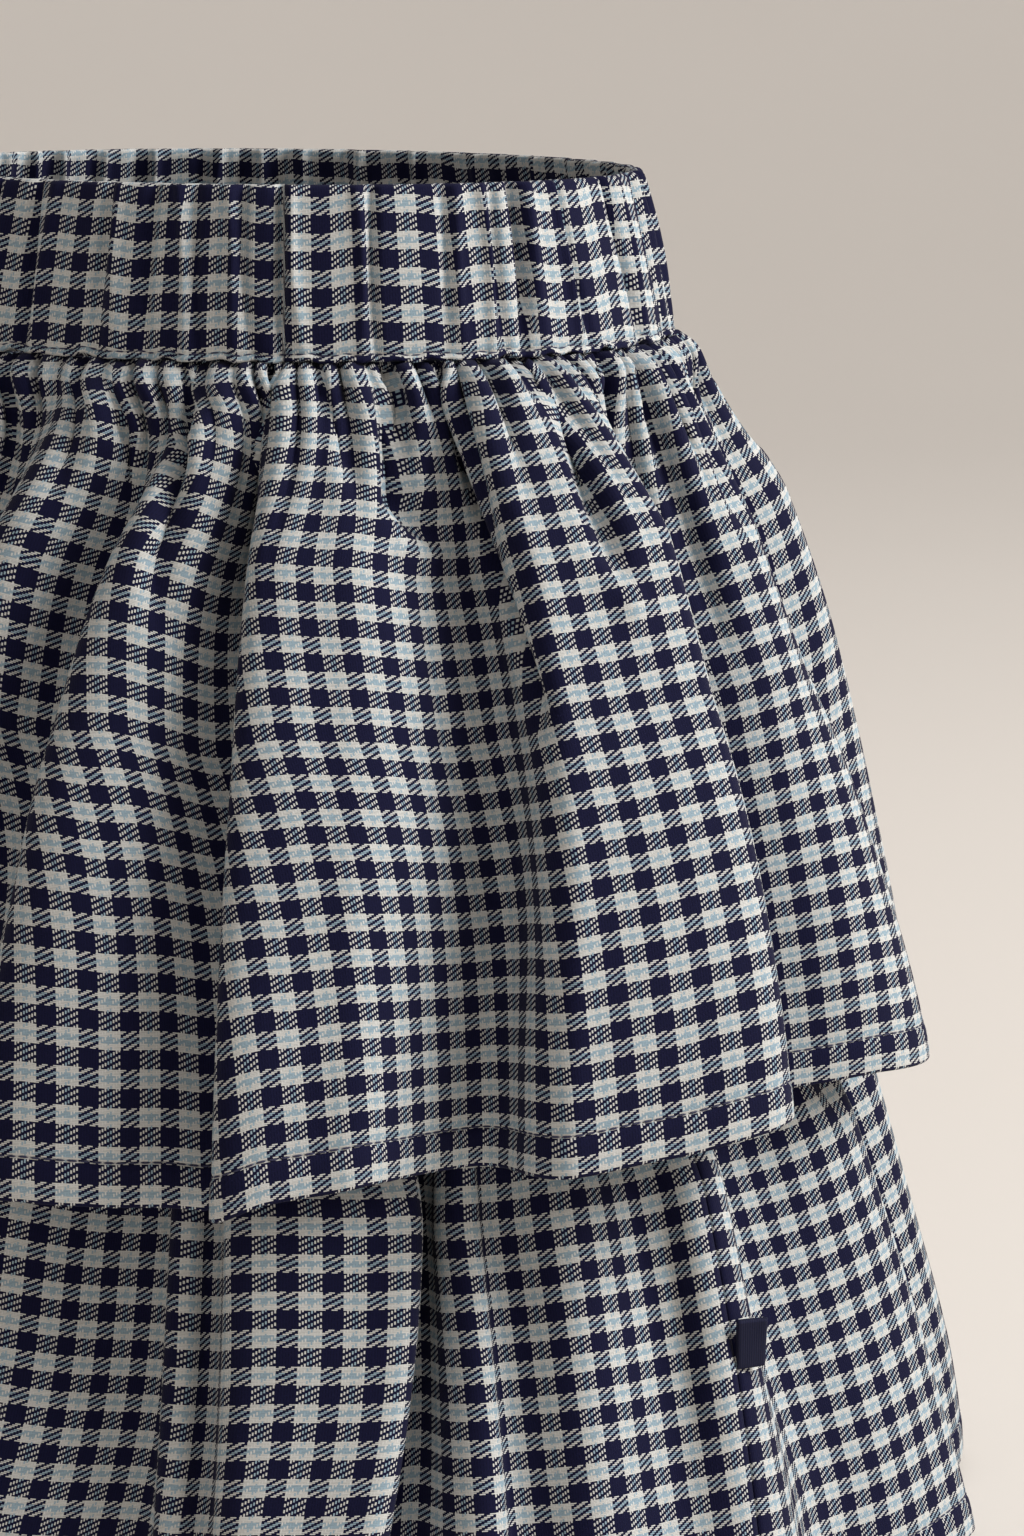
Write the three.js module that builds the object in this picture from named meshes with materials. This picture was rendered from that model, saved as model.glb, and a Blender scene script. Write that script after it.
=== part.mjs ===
// Tiered ruffle skirt: an elastic waistband, a gathered upper tier over a plain base, and a gathered lower tier.
// Millimetres, +Z up. The front faces -Y and the wearer's left is +X.
// The origin is the waist centre, at the middle of the waistband's height.
import * as THREE from "three";

// Sizes of the cut cloth
const BAND_HEIGHT = 41;
const BAND_WALL = 3.6; // two layers of cloth round a flat elastic
const CLOTH_WALL = 1.4;
const SEAM_GAP = 0.3;
const PANEL_GAP = 0.4; // between the front and the back at a side seam
const UPPER_WIDTH = 1180; // two panels of 590
const UPPER_LENGTH = 199;
const BASE_LENGTH = 150;
const LOWER_WIDTH = 1240; // two panels of 620
const LOWER_LENGTH = 166;

// Half-widths of the rings: X is side to side, Y is front to back
const WAIST_X = 112;
const WAIST_Y = 94;
const BAND_TAPER = 0.22; // the band narrows upwards by this much a millimetre
const RUCHES = 44;
const RUCHE_DEPTH = 1.5;

// How the cloth is gathered and sampled
const UPPER_COLUMNS = 192; // two to a gather
const LOWER_COLUMNS = 120; // two to a gather
const BASE_COLUMNS = 96;
const FLANK_STEPS = 16; // points along one side of a fold
const SIDE_ANGLE = 90; // degrees from the front to the side seam at +X
const STEP = 6; // millimetres of cloth between the sections that are worked out

// The upper tier's folds, ridge and trough in turn, from the front round by the wearer's left.
// Angles are degrees from the front; depths are millimetres out of the plain ring.
// angle at the seam, at a third, at the hem, then depth near the seam, at a third, at two thirds, at the hem
const UPPER_FOLDS = [
  [32.5, 22, 18, -4, -9, -9, -6],
  [38.5, 35.5, 35.5, 3, 8, 9, 6],
  [43, 41, 39, -3, -9, -8, -5],
  [47.5, 51.5, 51.5, 3, 7, 9, 8],
  [57.5, 57.5, 60, -6, -4, 2, 6],
  [61, 62, 63.5, 2, 4, 4, 5],
  [67, 71, 68.5, -6, -13, -13, -9],
  [73.5, 75.5, 77, 4, 9, 6, 5],
  [79, 81, 82, -3, -4, 5, 7],
  [84.5, 87, 86.5, 4, 9, 10, 10],
  [92, 95.5, 99, -3, -9, -14, -16],
  [101.5, 101.5, 108, 3, 4, 5, 6],
  [107, 108, 115, -1, -1, 0, 1],
  [114, 116, 122, 3, 5, 7, 8],
  [124, 127, 132, -4, -9, -11, -9],
  [134, 139, 143, 3, 8, 9, 8],
  [145, 149, 154, -4, -9, -10, -8],
  [156, 160, 163, 3, 7, 8, 7],
  [166, 170, 172, -4, -8, -8, -5],
  [175, 180, 181, 4, 8, 9, 7],
  [185, 191, 192, -3, -9, -11, -9],
  [196, 202, 203, 3, 8, 10, 9],
  [206, 212, 213, -4, -9, -8, -6],
  [217, 222, 222, 3, 7, 8, 7],
  [228, 232, 231, -5, -10, -10, -8],
  [238, 241, 240, 4, 8, 8, 7],
  [248, 250, 251, -3, -8, -9, -7],
  [258, 259, 262, 3, 8, 9, 8],
  [267, 268, 272, -4, -10, -12, -10],
  [276, 277, 280, 3, 8, 9, 8],
  [286, 286, 288, -4, -8, -8, -5],
  [295, 295, 296, 4, 7, 8, 7],
  [304, 304, 305, -3, -9, -10, -8],
  [313, 312, 313, 3, 8, 9, 8],
  [322, 321, 321, -4, -10, -9, -7],
  [331, 329, 329, 4, 8, 8, 7],
  [340, 337, 337, -3, -9, -10, -8],
  [349, 345, 344, 3, 8, 9, 8],
  [358, 353, 351, -4, -8, -9, -6],
  [368, 362, 359, 3, 7, 8, 7],
  [376, 369, 365, -3, -6, -6, -4],
  [384, 375, 371, 3, 6, 7, 6],
];

// The lower tier's folds, in the same columns
const LOWER_FOLDS = [
  [30, 29.5, 29, -2, -4, -6, -8],
  [34, 33.5, 33, 2, 2, 2, 3],
  [37.5, 37.5, 37.5, -2, -4, -6, -7],
  [47, 47.5, 45.5, 3, 7, 10, 12],
  [60, 59.5, 55, -4, -12, -17, -19],
  [63, 62, 60, 1, 1, 3, 4],
  [65.5, 65, 63.5, 0, -1, -2, -2],
  [74, 73, 71, 2, 5, 7, 8],
  [83, 83, 79.5, 0, 2, 3, 4],
  [90, 90, 86.5, 2, 5, 6, 6],
  [101, 103, 104, -4, -9, -13, -16],
  [112, 114, 115, 3, 7, 9, 12],
  [124, 125, 125, -3, -8, -9, -12],
  [136, 137, 138, 3, 8, 10, 12],
  [148, 150, 151, -3, -9, -11, -13],
  [161, 162, 163, 3, 8, 10, 13],
  [174, 174, 173, -3, -8, -10, -12],
  [186, 186, 187, 3, 8, 10, 12],
  [199, 199, 200, -3, -9, -12, -14],
  [212, 212, 213, 3, 8, 11, 13],
  [224, 225, 224, -3, -8, -10, -12],
  [236, 237, 238, 3, 8, 10, 12],
  [249, 249, 251, -3, -9, -12, -14],
  [261, 262, 263, 3, 8, 10, 13],
  [274, 274, 273, -3, -8, -11, -12],
  [286, 287, 288, 3, 8, 10, 12],
  [299, 299, 300, -3, -9, -11, -13],
  [311, 312, 311, 3, 8, 10, 12],
  [323, 324, 325, -3, -8, -11, -13],
  [335, 336, 337, 3, 8, 10, 13],
  [347, 348, 349, -3, -9, -11, -13],
  [358, 360, 360, 3, 8, 10, 12],
  [369, 370, 370, -3, -8, -11, -12],
  [379, 379, 379, 3, 7, 9, 10],
];

// Each tier's plain ring goes from seam to hem, faster at first for a larger flare.
// Tightness is the cloth gathered in beyond the ring's length, gatherReach how far down that lasts,
// puff how far the gathers stand out, and level how much of a fold's own height difference is left at the hem.
const UPPER = {
  folds: UPPER_FOLDS,
  width: UPPER_WIDTH,
  length: UPPER_LENGTH,
  columns: UPPER_COLUMNS,
  seam: [WAIST_X, WAIST_Y],
  hem: [172, 160],
  flare: 1.35,
  tightness: 0.7,
  gatherReach: 17,
  puff: 3,
  side: SIDE_ANGLE,
  top: -BAND_HEIGHT / 2 - SEAM_GAP,
  level: 0.35,
};
const LOWER = {
  folds: LOWER_FOLDS,
  width: LOWER_WIDTH,
  length: LOWER_LENGTH,
  columns: LOWER_COLUMNS,
  seam: [136, 120],
  hem: [194, 176],
  flare: 1.15,
  tightness: 0.55,
  gatherReach: 20,
  puff: 1.5,
  side: SIDE_ANGLE - 2.5,
  top: 0, // set below, under the base
  level: 0.5,
};
const BASE_SEAM = [WAIST_X - 2.2, WAIST_Y - 2.2];
const BASE_HEM = [135.5, 119.5];
const BASE_FLARE = 1.1;
const UNDER_GAP = 2; // what lies under the upper tier keeps this far inside it, wall to wall

const LABEL = { width: 7, height: 12, wall: 1, gap: 0.3, z: -259 };

// Colours
const CHECK_COLOUR = 0x7f8790;
const LABEL_COLOUR = 0x1f2340;

const radians = (degrees) => (degrees * Math.PI) / 180;

// A smooth curve through values at given places, used for the fold tables' columns.
function through(places, values, t) {
  let k = 0;
  while (k < places.length - 2 && t > places[k + 1]) k += 1;
  const slope = (i) => {
    if (i <= 0 || i >= places.length - 1) return null;
    return (values[i + 1] - values[i - 1]) / (places[i + 1] - places[i - 1]);
  };
  const width = places[k + 1] - places[k];
  const chord = (values[k + 1] - values[k]) / width;
  const first = slope(k) ?? chord;
  const last = slope(k + 1) ?? chord;
  const s = Math.min(1, Math.max(0, (t - places[k]) / width));
  return (
    values[k] * (1 + 2 * s) * (1 - s) ** 2 +
    values[k + 1] * s * s * (3 - 2 * s) +
    width * (first * s * (1 - s) ** 2 - last * s * s * (1 - s))
  );
}
const ANGLE_PLACES = [0, 0.35, 1];
const DEPTH_PLACES = [0, 0.12, 0.35, 0.65, 1];

// One side of a fold leans by a sine of its own length: steep in the middle, level at the ridge and the trough.
// For a lean, this gives how far the cloth goes along and across for each unit of its length.
function flank(lean) {
  const along = [0];
  const across = [0];
  for (let i = 1; i <= FLANK_STEPS; i += 1) {
    const angle = lean * Math.sin((Math.PI * (i - 0.5)) / FLANK_STEPS);
    along.push(along[i - 1] + Math.cos(angle) / FLANK_STEPS);
    across.push(across[i - 1] + Math.sin(angle) / FLANK_STEPS);
  }
  return { along, across };
}
const LEANS = Array.from({ length: 121 }, (_, i) => (i / 120) * 2.1);
const FLANKS = LEANS.map(flank);
const STEEPNESS = FLANKS.map((f) => f.across[FLANK_STEPS] / f.along[FLANK_STEPS]);

// The side of a fold that rises this much for each unit it goes along.
function flankOf(ratio) {
  let k = 1;
  while (k < STEEPNESS.length - 1 && STEEPNESS[k] < ratio) k += 1;
  const share = Math.min(1, (ratio - STEEPNESS[k - 1]) / (STEEPNESS[k] - STEEPNESS[k - 1]));
  return flank(LEANS[k - 1] + share * (LEANS[k] - LEANS[k - 1]));
}

// The plain ring: an ellipse, with its arc length in small steps.
function ring(halfX, halfY) {
  const arc = [0];
  const at = (degrees) => {
    const t = radians(degrees);
    return [halfX * Math.sin(t), -halfY * Math.cos(t)];
  };
  for (let d = 1; d <= 360; d += 1) {
    const [x0, y0] = at(d - 1);
    const [x1, y1] = at(d);
    arc.push(arc[d - 1] + Math.hypot(x1 - x0, y1 - y0));
  }
  const round = arc[360];
  const arcAt = (degrees) => {
    const turns = Math.floor(degrees / 360);
    const rest = degrees - 360 * turns;
    const k = Math.min(359, Math.floor(rest));
    return turns * round + arc[k] + (rest - k) * (arc[k + 1] - arc[k]);
  };
  const angleAt = (length) => {
    const turns = Math.floor(length / round);
    const rest = length - round * turns;
    let low = 0;
    let high = 360;
    while (high - low > 1) {
      const middle = (low + high) >> 1;
      if (arc[middle] <= rest) low = middle;
      else high = middle;
    }
    return 360 * turns + low + (rest - arc[low]) / (arc[low + 1] - arc[low]);
  };
  const pointAt = (degrees, out) => {
    const t = radians(degrees);
    const normal = [halfY * Math.sin(t), -halfX * Math.cos(t)];
    const size = Math.hypot(...normal);
    return [
      halfX * Math.sin(t) + (normal[0] / size) * out,
      -halfY * Math.cos(t) + (normal[1] / size) * out,
    ];
  };
  return { arcAt, angleAt, pointAt };
}

// Where a tier's fold lines run at a share of its length, with the depths scaled.
function foldLines(tier, share, scale) {
  const lines = tier.folds.map((row) => [
    through(ANGLE_PLACES, row.slice(0, 3), share),
    scale * through(DEPTH_PLACES, [0, ...row.slice(3)], share),
  ]);
  lines.push([lines[0][0] + 360, lines[0][1]]);
  return lines;
}

// The tier's section at a share of its length: a closed line, one list of points for each side of a fold.
function outline(tier, share, scale) {
  const spread = 1 - (1 - share) ** tier.flare;
  const plain = ring(
    tier.seam[0] + (tier.hem[0] - tier.seam[0]) * spread,
    tier.seam[1] + (tier.hem[1] - tier.seam[1]) * spread,
  );
  const lines = foldLines(tier, share, scale);
  return lines.slice(0, -1).map(([angle, out], i) => {
    const [nextAngle, nextOut] = lines[i + 1];
    const start = plain.arcAt(angle);
    const chord = plain.arcAt(nextAngle) - start;
    const rise = nextOut - out;
    const side = flankOf(Math.abs(rise) / chord);
    const length = chord / side.along[FLANK_STEPS];
    const points = side.along.map((step, k) => {
      const here = plain.angleAt(start + length * step);
      return plain.pointAt(here, out + Math.sign(rise) * length * side.across[k]);
    });
    return { points, length };
  });
}

const sum = (values) => values.reduce((total, value) => total + value, 0);

// How much wider the cloth is than the line it is gathered onto, dying out below the seam.
const gatherRatio = (tier, down) => 1 + tier.tightness * Math.exp(-((down / tier.gatherReach) ** 1.3));

// The section whose folds take up all the cloth that the gathers leave.
function fittedOutline(tier, down) {
  const share = down / tier.length;
  const wanted = tier.width / gatherRatio(tier, down);
  let low = 0;
  let high = 3;
  for (let i = 0; i < 20; i += 1) {
    const middle = (low + high) / 2;
    if (sum(outline(tier, share, middle).map((side) => side.length)) < wanted) low = middle;
    else high = middle;
  }
  return outline(tier, share, (low + high) / 2);
}

// The width of cloth in each side of a fold, the same at every height: the mean of what the lower sections use.
function clothWidths(tier) {
  const totals = tier.folds.map(() => 0);
  [0.35, 0.6, 0.8, 1].forEach((share) => {
    fittedOutline(tier, share * tier.length).forEach((side, i) => {
      totals[i] += side.length;
    });
  });
  const scale = tier.width / sum(totals);
  return totals.map((total) => total * scale);
}

// The point, outward direction and gathering at a place along the cloth.
function along(section, widths, place) {
  let i = 0;
  let rest = place;
  while (i < widths.length - 1 && rest >= widths[i]) {
    rest -= widths[i];
    i += 1;
  }
  const { points, length } = section[i];
  const steps = (rest / widths[i]) * FLANK_STEPS;
  const k = Math.min(FLANK_STEPS - 1, Math.floor(steps));
  const share = steps - k;
  const [x0, y0] = points[k];
  const [x1, y1] = points[k + 1];
  const size = Math.hypot(x1 - x0, y1 - y0);
  return {
    x: x0 + share * (x1 - x0),
    y: y0 + share * (y1 - y0),
    outX: (y1 - y0) / size,
    outY: -(x1 - x0) / size,
    ratio: Math.max(1, widths[i] / length),
  };
}

// The place along the cloth where a section passes the side seam's direction.
function sidePlace(tier, section, widths) {
  const turn = radians(tier.side);
  const past = ([x, y]) => x * Math.cos(turn) + y * Math.sin(turn);
  const outward = ([x, y]) => x * Math.sin(turn) - y * Math.cos(turn);
  let before = 0;
  for (let i = 0; i < section.length; i += 1) {
    const { points } = section[i];
    for (let k = 0; k < FLANK_STEPS; k += 1) {
      const here = past(points[k]);
      const next = past(points[k + 1]);
      if (outward(points[k]) > 0 && here < 0 && next >= 0) {
        return before + (widths[i] * (k - here / (next - here))) / FLANK_STEPS;
      }
    }
    before += widths[i];
  }
  return 0;
}

// A whole tier: rows of points on the middle of the wall, from the seam down, one row for each entry in downs.
function tierRows(tier, downs) {
  const steps = [0];
  for (let i = 0; i < downs.length - 1; i += 1) {
    const parts = Math.ceil((downs[i + 1] - downs[i]) / STEP);
    for (let k = 1; k <= parts; k += 1) steps.push(downs[i] + ((downs[i + 1] - downs[i]) * k) / parts);
  }
  const widths = clothWidths(tier);
  const start = sidePlace(tier, fittedOutline(tier, tier.length), widths);
  const pitch = tier.width / tier.columns;
  const rows = [];
  let before = null;
  steps.forEach((down, index) => {
    const section = fittedOutline(tier, down);
    const puff = tier.puff * Math.exp(-down / 30);
    const row = [];
    for (let j = 0; j < tier.columns; j += 1) {
      const p = along(section, widths, (start + j * pitch) % tier.width);
      const gather = Math.sqrt(1 - 1 / p.ratio ** 2) * pitch * 0.5;
      p.lift = puff + (j % 2 ? -gather : gather) * Math.exp(-((down / tier.gatherReach) ** 2) / 6);
      p.z = 0;
      if (before) {
        const step = down - steps[index - 1];
        const moved = Math.hypot(p.x - before[j].x, p.y - before[j].y);
        p.z = before[j].z - Math.sqrt(Math.max(step ** 2 - moved ** 2, (0.55 * step) ** 2));
      }
      row.push(p);
    }
    before = row;
    if (downs.includes(down)) rows.push({ down, row });
  });
  return rows.map(({ down, row }) => {
    const mean = sum(row.map((p) => p.z)) / row.length;
    const keep = 1 + (tier.level - 1) * (down / tier.length) ** 1.5;
    return row.map((p) => ({
      x: p.x + p.outX * p.lift,
      y: p.y + p.outY * p.lift,
      z: tier.top + mean + keep * (p.z - mean),
      outX: p.outX,
      outY: p.outY,
    }));
  });
}

// The inmost reach of a tier at each degree round, for the pieces under it.
function inmost(rows) {
  return rows.map((row) => {
    const reach = new Array(360).fill(1e9);
    const height = new Array(360).fill(0);
    row.forEach((p, j) => {
      const next = row[(j + 1) % row.length];
      for (let k = 0; k < 6; k += 1) {
        const x = p.x + ((next.x - p.x) * k) / 6;
        const y = p.y + ((next.y - p.y) * k) / 6;
        const degrees = (Math.round((Math.atan2(x, -y) * 180) / Math.PI) + 360) % 360;
        for (let d = degrees - 2; d <= degrees + 2; d += 1) {
          const slot = (d + 360) % 360;
          if (Math.hypot(x, y) < reach[slot]) {
            reach[slot] = Math.hypot(x, y);
            height[slot] = p.z;
          }
        }
      }
    });
    return { reach, height };
  });
}

// Moves a point in until it clears the tier over it.
function keepUnder(point, over) {
  const radius = Math.hypot(point.x, point.y);
  const degrees = ((Math.round((Math.atan2(point.x, -point.y) * 180) / Math.PI) % 360) + 360) % 360;
  const most = CLOTH_WALL + UNDER_GAP;
  let limit = 1e9;
  for (let i = 0; i < over.length - 1; i += 1) {
    const high = over[i].height[degrees];
    const low = over[i + 1].height[degrees];
    if (point.z <= high + 2 && point.z >= low - 10) {
      const share = Math.min(1, Math.max(0, (high - point.z) / (high - low)));
      const reach = over[i].reach[degrees] + share * (over[i + 1].reach[degrees] - over[i].reach[degrees]);
      limit = Math.min(limit, reach - most);
    }
  }
  if (radius <= limit) return point;
  return { ...point, x: (point.x * limit) / radius, y: (point.y * limit) / radius };
}

// A closed wall from rows of points: both faces, the seam and hem edges, and the two side edges of a panel.
function wall(rows, thickness, closed) {
  const across = rows[0].length;
  const half = thickness / 2;
  const positions = [];
  [1, -1].forEach((face) =>
    rows.forEach((row) =>
      row.forEach((p) => positions.push(p.x + face * half * p.outX, p.y + face * half * p.outY, p.z)),
    ),
  );
  const at = (face, i, j) => face * rows.length * across + i * across + (j % across);
  const index = [];
  const quad = (a, b, c, d) => index.push(a, b, c, a, c, d);
  const spans = closed ? across : across - 1;
  for (let j = 0; j < spans; j += 1) {
    for (let i = 0; i < rows.length - 1; i += 1) {
      quad(at(0, i + 1, j), at(0, i + 1, j + 1), at(0, i, j + 1), at(0, i, j));
      quad(at(1, i, j), at(1, i, j + 1), at(1, i + 1, j + 1), at(1, i + 1, j));
    }
    quad(at(0, 0, j), at(0, 0, j + 1), at(1, 0, j + 1), at(1, 0, j));
    const hem = rows.length - 1;
    quad(at(1, hem, j), at(1, hem, j + 1), at(0, hem, j + 1), at(0, hem, j));
  }
  if (!closed) {
    for (let i = 0; i < rows.length - 1; i += 1) {
      quad(at(1, i + 1, 0), at(0, i + 1, 0), at(0, i, 0), at(1, i, 0));
      const j = across - 1;
      quad(at(1, i + 1, j), at(1, i, j), at(0, i, j), at(0, i + 1, j));
    }
  }
  const geometry = new THREE.BufferGeometry();
  geometry.setAttribute("position", new THREE.Float32BufferAttribute(positions, 3));
  geometry.setIndex(index);
  geometry.computeVertexNormals();
  return geometry;
}

// Half of a ring of rows, drawn in along the cloth at both side seams to leave the gap between the panels.
function panel(rows, first) {
  return rows.map((row) => {
    const half = row.length / 2;
    const points = [];
    for (let j = 0; j <= half; j += 1) points.push({ ...row[(first + j) % row.length] });
    [
      [points[0], 1],
      [points[half], -1],
    ].forEach(([end, way]) => {
      end.x -= (way * end.outY * PANEL_GAP) / 2;
      end.y += (way * end.outX * PANEL_GAP) / 2;
    });
    return points;
  });
}

const skirt = new THREE.Group();
skirt.name = "tiered_ruffle_skirt";

function add(name, geometry, colour) {
  const material = new THREE.MeshStandardMaterial({ color: colour, roughness: 0.9, metalness: 0 });
  material.name = name;
  const mesh = new THREE.Mesh(geometry, material);
  mesh.name = name;
  skirt.add(mesh);
}

// The waistband: a ruched casing, softly rounded at its folded top
const bandHeights = [
  [BAND_HEIGHT / 2, 0.45],
  [-BAND_HEIGHT / 6, 1],
  [-BAND_HEIGHT / 2, 0.35],
];
const bandRows = bandHeights.map(([z, ruche]) => {
  const inward = BAND_TAPER * (z + BAND_HEIGHT / 2);
  const plain = ring(WAIST_X - inward, WAIST_Y - inward);
  const row = [];
  for (let j = 0; j < RUCHES * 4; j += 1) {
    const degrees = (360 * j) / (RUCHES * 4);
    const out = RUCHE_DEPTH * ruche * 0.5 * Math.cos((Math.PI * j) / 2);
    const [x, y] = plain.pointAt(degrees, out);
    const [farX, farY] = plain.pointAt(degrees, out + 1);
    row.push({ x, y, z, outX: farX - x, outY: farY - y });
  }
  return row;
});
add("waistband", wall(bandRows, BAND_WALL, true), CHECK_COLOUR);

// The upper tier, in a front and a back panel that meet at the side seams
const upperRows = tierRows(UPPER, [0, 7, 18, 36, 60, 92, 126, 162, UPPER_LENGTH]);
const over = inmost(upperRows);
add("upper_tier_front", wall(panel(upperRows, UPPER_COLUMNS / 2), CLOTH_WALL, false), CHECK_COLOUR);
add("upper_tier_back", wall(panel(upperRows, 0), CLOTH_WALL, false), CHECK_COLOUR);

// The base under it, which carries the lower tier
const baseDrop = BASE_LENGTH * 0.982;
const baseRows = [0, 8, 24, 50, 90, BASE_LENGTH].map((down) => {
  const share = down / BASE_LENGTH;
  const spread = 1 - (1 - share) ** BASE_FLARE;
  const plain = ring(
    BASE_SEAM[0] + (BASE_HEM[0] - BASE_SEAM[0]) * spread,
    BASE_SEAM[1] + (BASE_HEM[1] - BASE_SEAM[1]) * spread,
  );
  const row = [];
  for (let j = 0; j < BASE_COLUMNS; j += 1) {
    const degrees = SIDE_ANGLE + (360 * j) / BASE_COLUMNS;
    const [x, y] = plain.pointAt(degrees, 0);
    const [farX, farY] = plain.pointAt(degrees, 1);
    const point = { x, y, z: UPPER.top - share * baseDrop, outX: farX - x, outY: farY - y };
    row.push(share ? keepUnder(point, over) : point);
  }
  return row;
});
add("base_front", wall(panel(baseRows, BASE_COLUMNS / 2), CLOTH_WALL - 0.2, false), CHECK_COLOUR);
add("base_back", wall(panel(baseRows, 0), CLOTH_WALL - 0.2, false), CHECK_COLOUR);

// The lower tier, gathered onto the base's lower edge
LOWER.top = UPPER.top - baseDrop - SEAM_GAP;
const lowerRows = tierRows(LOWER, [0, 18, 46, 74, 102, 132, LOWER_LENGTH]).map((row) =>
  row.map((p) => keepUnder(p, over)),
);
add("lower_tier_front", wall(panel(lowerRows, LOWER_COLUMNS / 2), CLOTH_WALL, false), CHECK_COLOUR);
add("lower_tier_back", wall(panel(lowerRows, 0), CLOTH_WALL, false), CHECK_COLOUR);

// A blank folded ribbon, sewn in at the lower tier's side seam
const seamPoints = lowerRows.map((row) => row[0]);
const lowerOf = seamPoints.findIndex((p) => p.z < LABEL.z);
const above = seamPoints[lowerOf - 1];
const below = seamPoints[lowerOf];
const share = (above.z - LABEL.z) / (above.z - below.z);
const atLabel = (key) => above[key] + share * (below[key] - above[key]);
const labelOut = CLOTH_WALL / 2 + LABEL.gap + LABEL.wall / 2;
const label = new THREE.BoxGeometry(LABEL.width, LABEL.wall, LABEL.height);
label.translate(LABEL.width / 2, 0, 0);
label.rotateZ(Math.atan2(atLabel("outX"), -atLabel("outY")));
label.rotateY(-Math.atan2(below.x - above.x, above.z - below.z));
label.translate(
  atLabel("x") + atLabel("outX") * labelOut,
  atLabel("y") + atLabel("outY") * labelOut,
  LABEL.z,
);
add("side_label", label, LABEL_COLOUR);

export default skirt;
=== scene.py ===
import math

import bpy
import numpy as np
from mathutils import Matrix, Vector


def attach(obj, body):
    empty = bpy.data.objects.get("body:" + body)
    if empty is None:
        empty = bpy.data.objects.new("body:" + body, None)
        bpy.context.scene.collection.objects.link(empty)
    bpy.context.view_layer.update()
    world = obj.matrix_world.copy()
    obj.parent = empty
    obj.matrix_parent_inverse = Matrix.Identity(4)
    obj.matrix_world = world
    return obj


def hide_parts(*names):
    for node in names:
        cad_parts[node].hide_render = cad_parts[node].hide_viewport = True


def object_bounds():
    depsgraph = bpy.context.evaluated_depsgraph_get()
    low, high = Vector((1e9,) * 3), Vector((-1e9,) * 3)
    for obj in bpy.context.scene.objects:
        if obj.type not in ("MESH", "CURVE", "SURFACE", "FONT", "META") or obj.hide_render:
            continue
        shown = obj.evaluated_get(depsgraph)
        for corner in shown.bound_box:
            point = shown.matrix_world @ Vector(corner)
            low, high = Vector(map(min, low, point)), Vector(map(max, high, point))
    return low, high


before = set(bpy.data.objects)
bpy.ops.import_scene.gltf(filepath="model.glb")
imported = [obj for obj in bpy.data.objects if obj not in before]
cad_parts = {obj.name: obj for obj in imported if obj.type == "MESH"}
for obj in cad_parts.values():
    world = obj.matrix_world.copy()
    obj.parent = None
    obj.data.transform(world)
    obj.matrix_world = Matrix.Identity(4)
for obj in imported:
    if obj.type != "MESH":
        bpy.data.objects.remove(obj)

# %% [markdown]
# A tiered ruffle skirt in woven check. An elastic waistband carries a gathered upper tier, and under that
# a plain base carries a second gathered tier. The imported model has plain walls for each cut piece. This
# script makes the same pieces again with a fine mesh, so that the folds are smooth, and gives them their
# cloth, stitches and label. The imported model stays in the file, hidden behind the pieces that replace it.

MM = 0.001
cad_box = [list(corner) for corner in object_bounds()]
print("packed model, metres:", [[round(x, 4) for x in corner] for corner in cad_box])

# %% [markdown]
# The camera stands where the photographer stood: in front of the wearer's left hip, a little over a metre
# away and slightly above the waist. A camera could be placed by hand with the viewport's fly mode. Here
# its place is worked out from the picture, because the tilt, the turn and the length of the lens then
# stay together as numbers.

# %% The camera
PHOTO_SIZE = (1024, 1536)
FOCAL_PIXELS = 4170
CAMERA_ROUND = math.radians(49)  # round from the front towards the wearer's left
CAMERA_AWAY = 1.080
CAMERA_HEIGHT = 0.0725
CAMERA_DOWN = math.radians(11)
AXIS_PIXEL = 262  # the column of the picture where the skirt's own axis stands
SENSOR = 36  # millimetres, along the picture's longer side

away = Vector((math.sin(CAMERA_ROUND), -math.cos(CAMERA_ROUND), 0))
camera_right = Vector((math.cos(CAMERA_ROUND), math.sin(CAMERA_ROUND), 0))
turned = math.atan((PHOTO_SIZE[0] / 2 - AXIS_PIXEL) / FOCAL_PIXELS * math.cos(CAMERA_DOWN))
level_look = -away * math.cos(turned) + camera_right * math.sin(turned)
look = level_look * math.cos(CAMERA_DOWN) - Vector((0, 0, 1)) * math.sin(CAMERA_DOWN)

camera_data = bpy.data.cameras.new("camera")
camera_data.sensor_width = SENSOR
camera_data.lens = FOCAL_PIXELS * SENSOR / PHOTO_SIZE[1]
camera_data.clip_start = 0.05
camera_data.clip_end = 40
camera = bpy.data.objects.new("camera", camera_data)
bpy.context.scene.collection.objects.link(camera)
camera.location = away * CAMERA_AWAY + Vector((0, 0, CAMERA_HEIGHT))
camera.rotation_mode = "QUATERNION"
camera.rotation_quaternion = look.to_track_quat("-Z", "Y")
bpy.context.scene.camera = camera
print("lens in mm:", round(camera_data.lens, 1))

# %% [markdown]
# A gathered tier is a straight strip of cloth. Its top is crowded into a short seam, and from there it
# falls in folds that widen to the hem. Cloth simulation could drop it into some folds, but never into the
# ones in the picture. So each tier is drawn from a chart of its fold lines, a ridge and a trough in turn:
# three angles round the body, for the seam, a third of the way down and the hem, and four depths. Between
# them the cloth curves smoothly.

# %% Sizes of the cut cloth, in millimetres
BAND_HEIGHT = 41
BAND_WALL = 3.6
CLOTH_WALL = 1.3
SEAM_GAP = 0.3
PANEL_GAP = 0.4
WAIST = np.array([112.0, 94.0])  # half-widths of the waist, side to side and front to back
BASE_LENGTH = 150
BASE_FALL = 0.982  # the base's height as a share of its length, because it widens
UPPER_TOP = -BAND_HEIGHT / 2 - SEAM_GAP
LOWER_TOP = UPPER_TOP - BASE_LENGTH * BASE_FALL - SEAM_GAP

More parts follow.
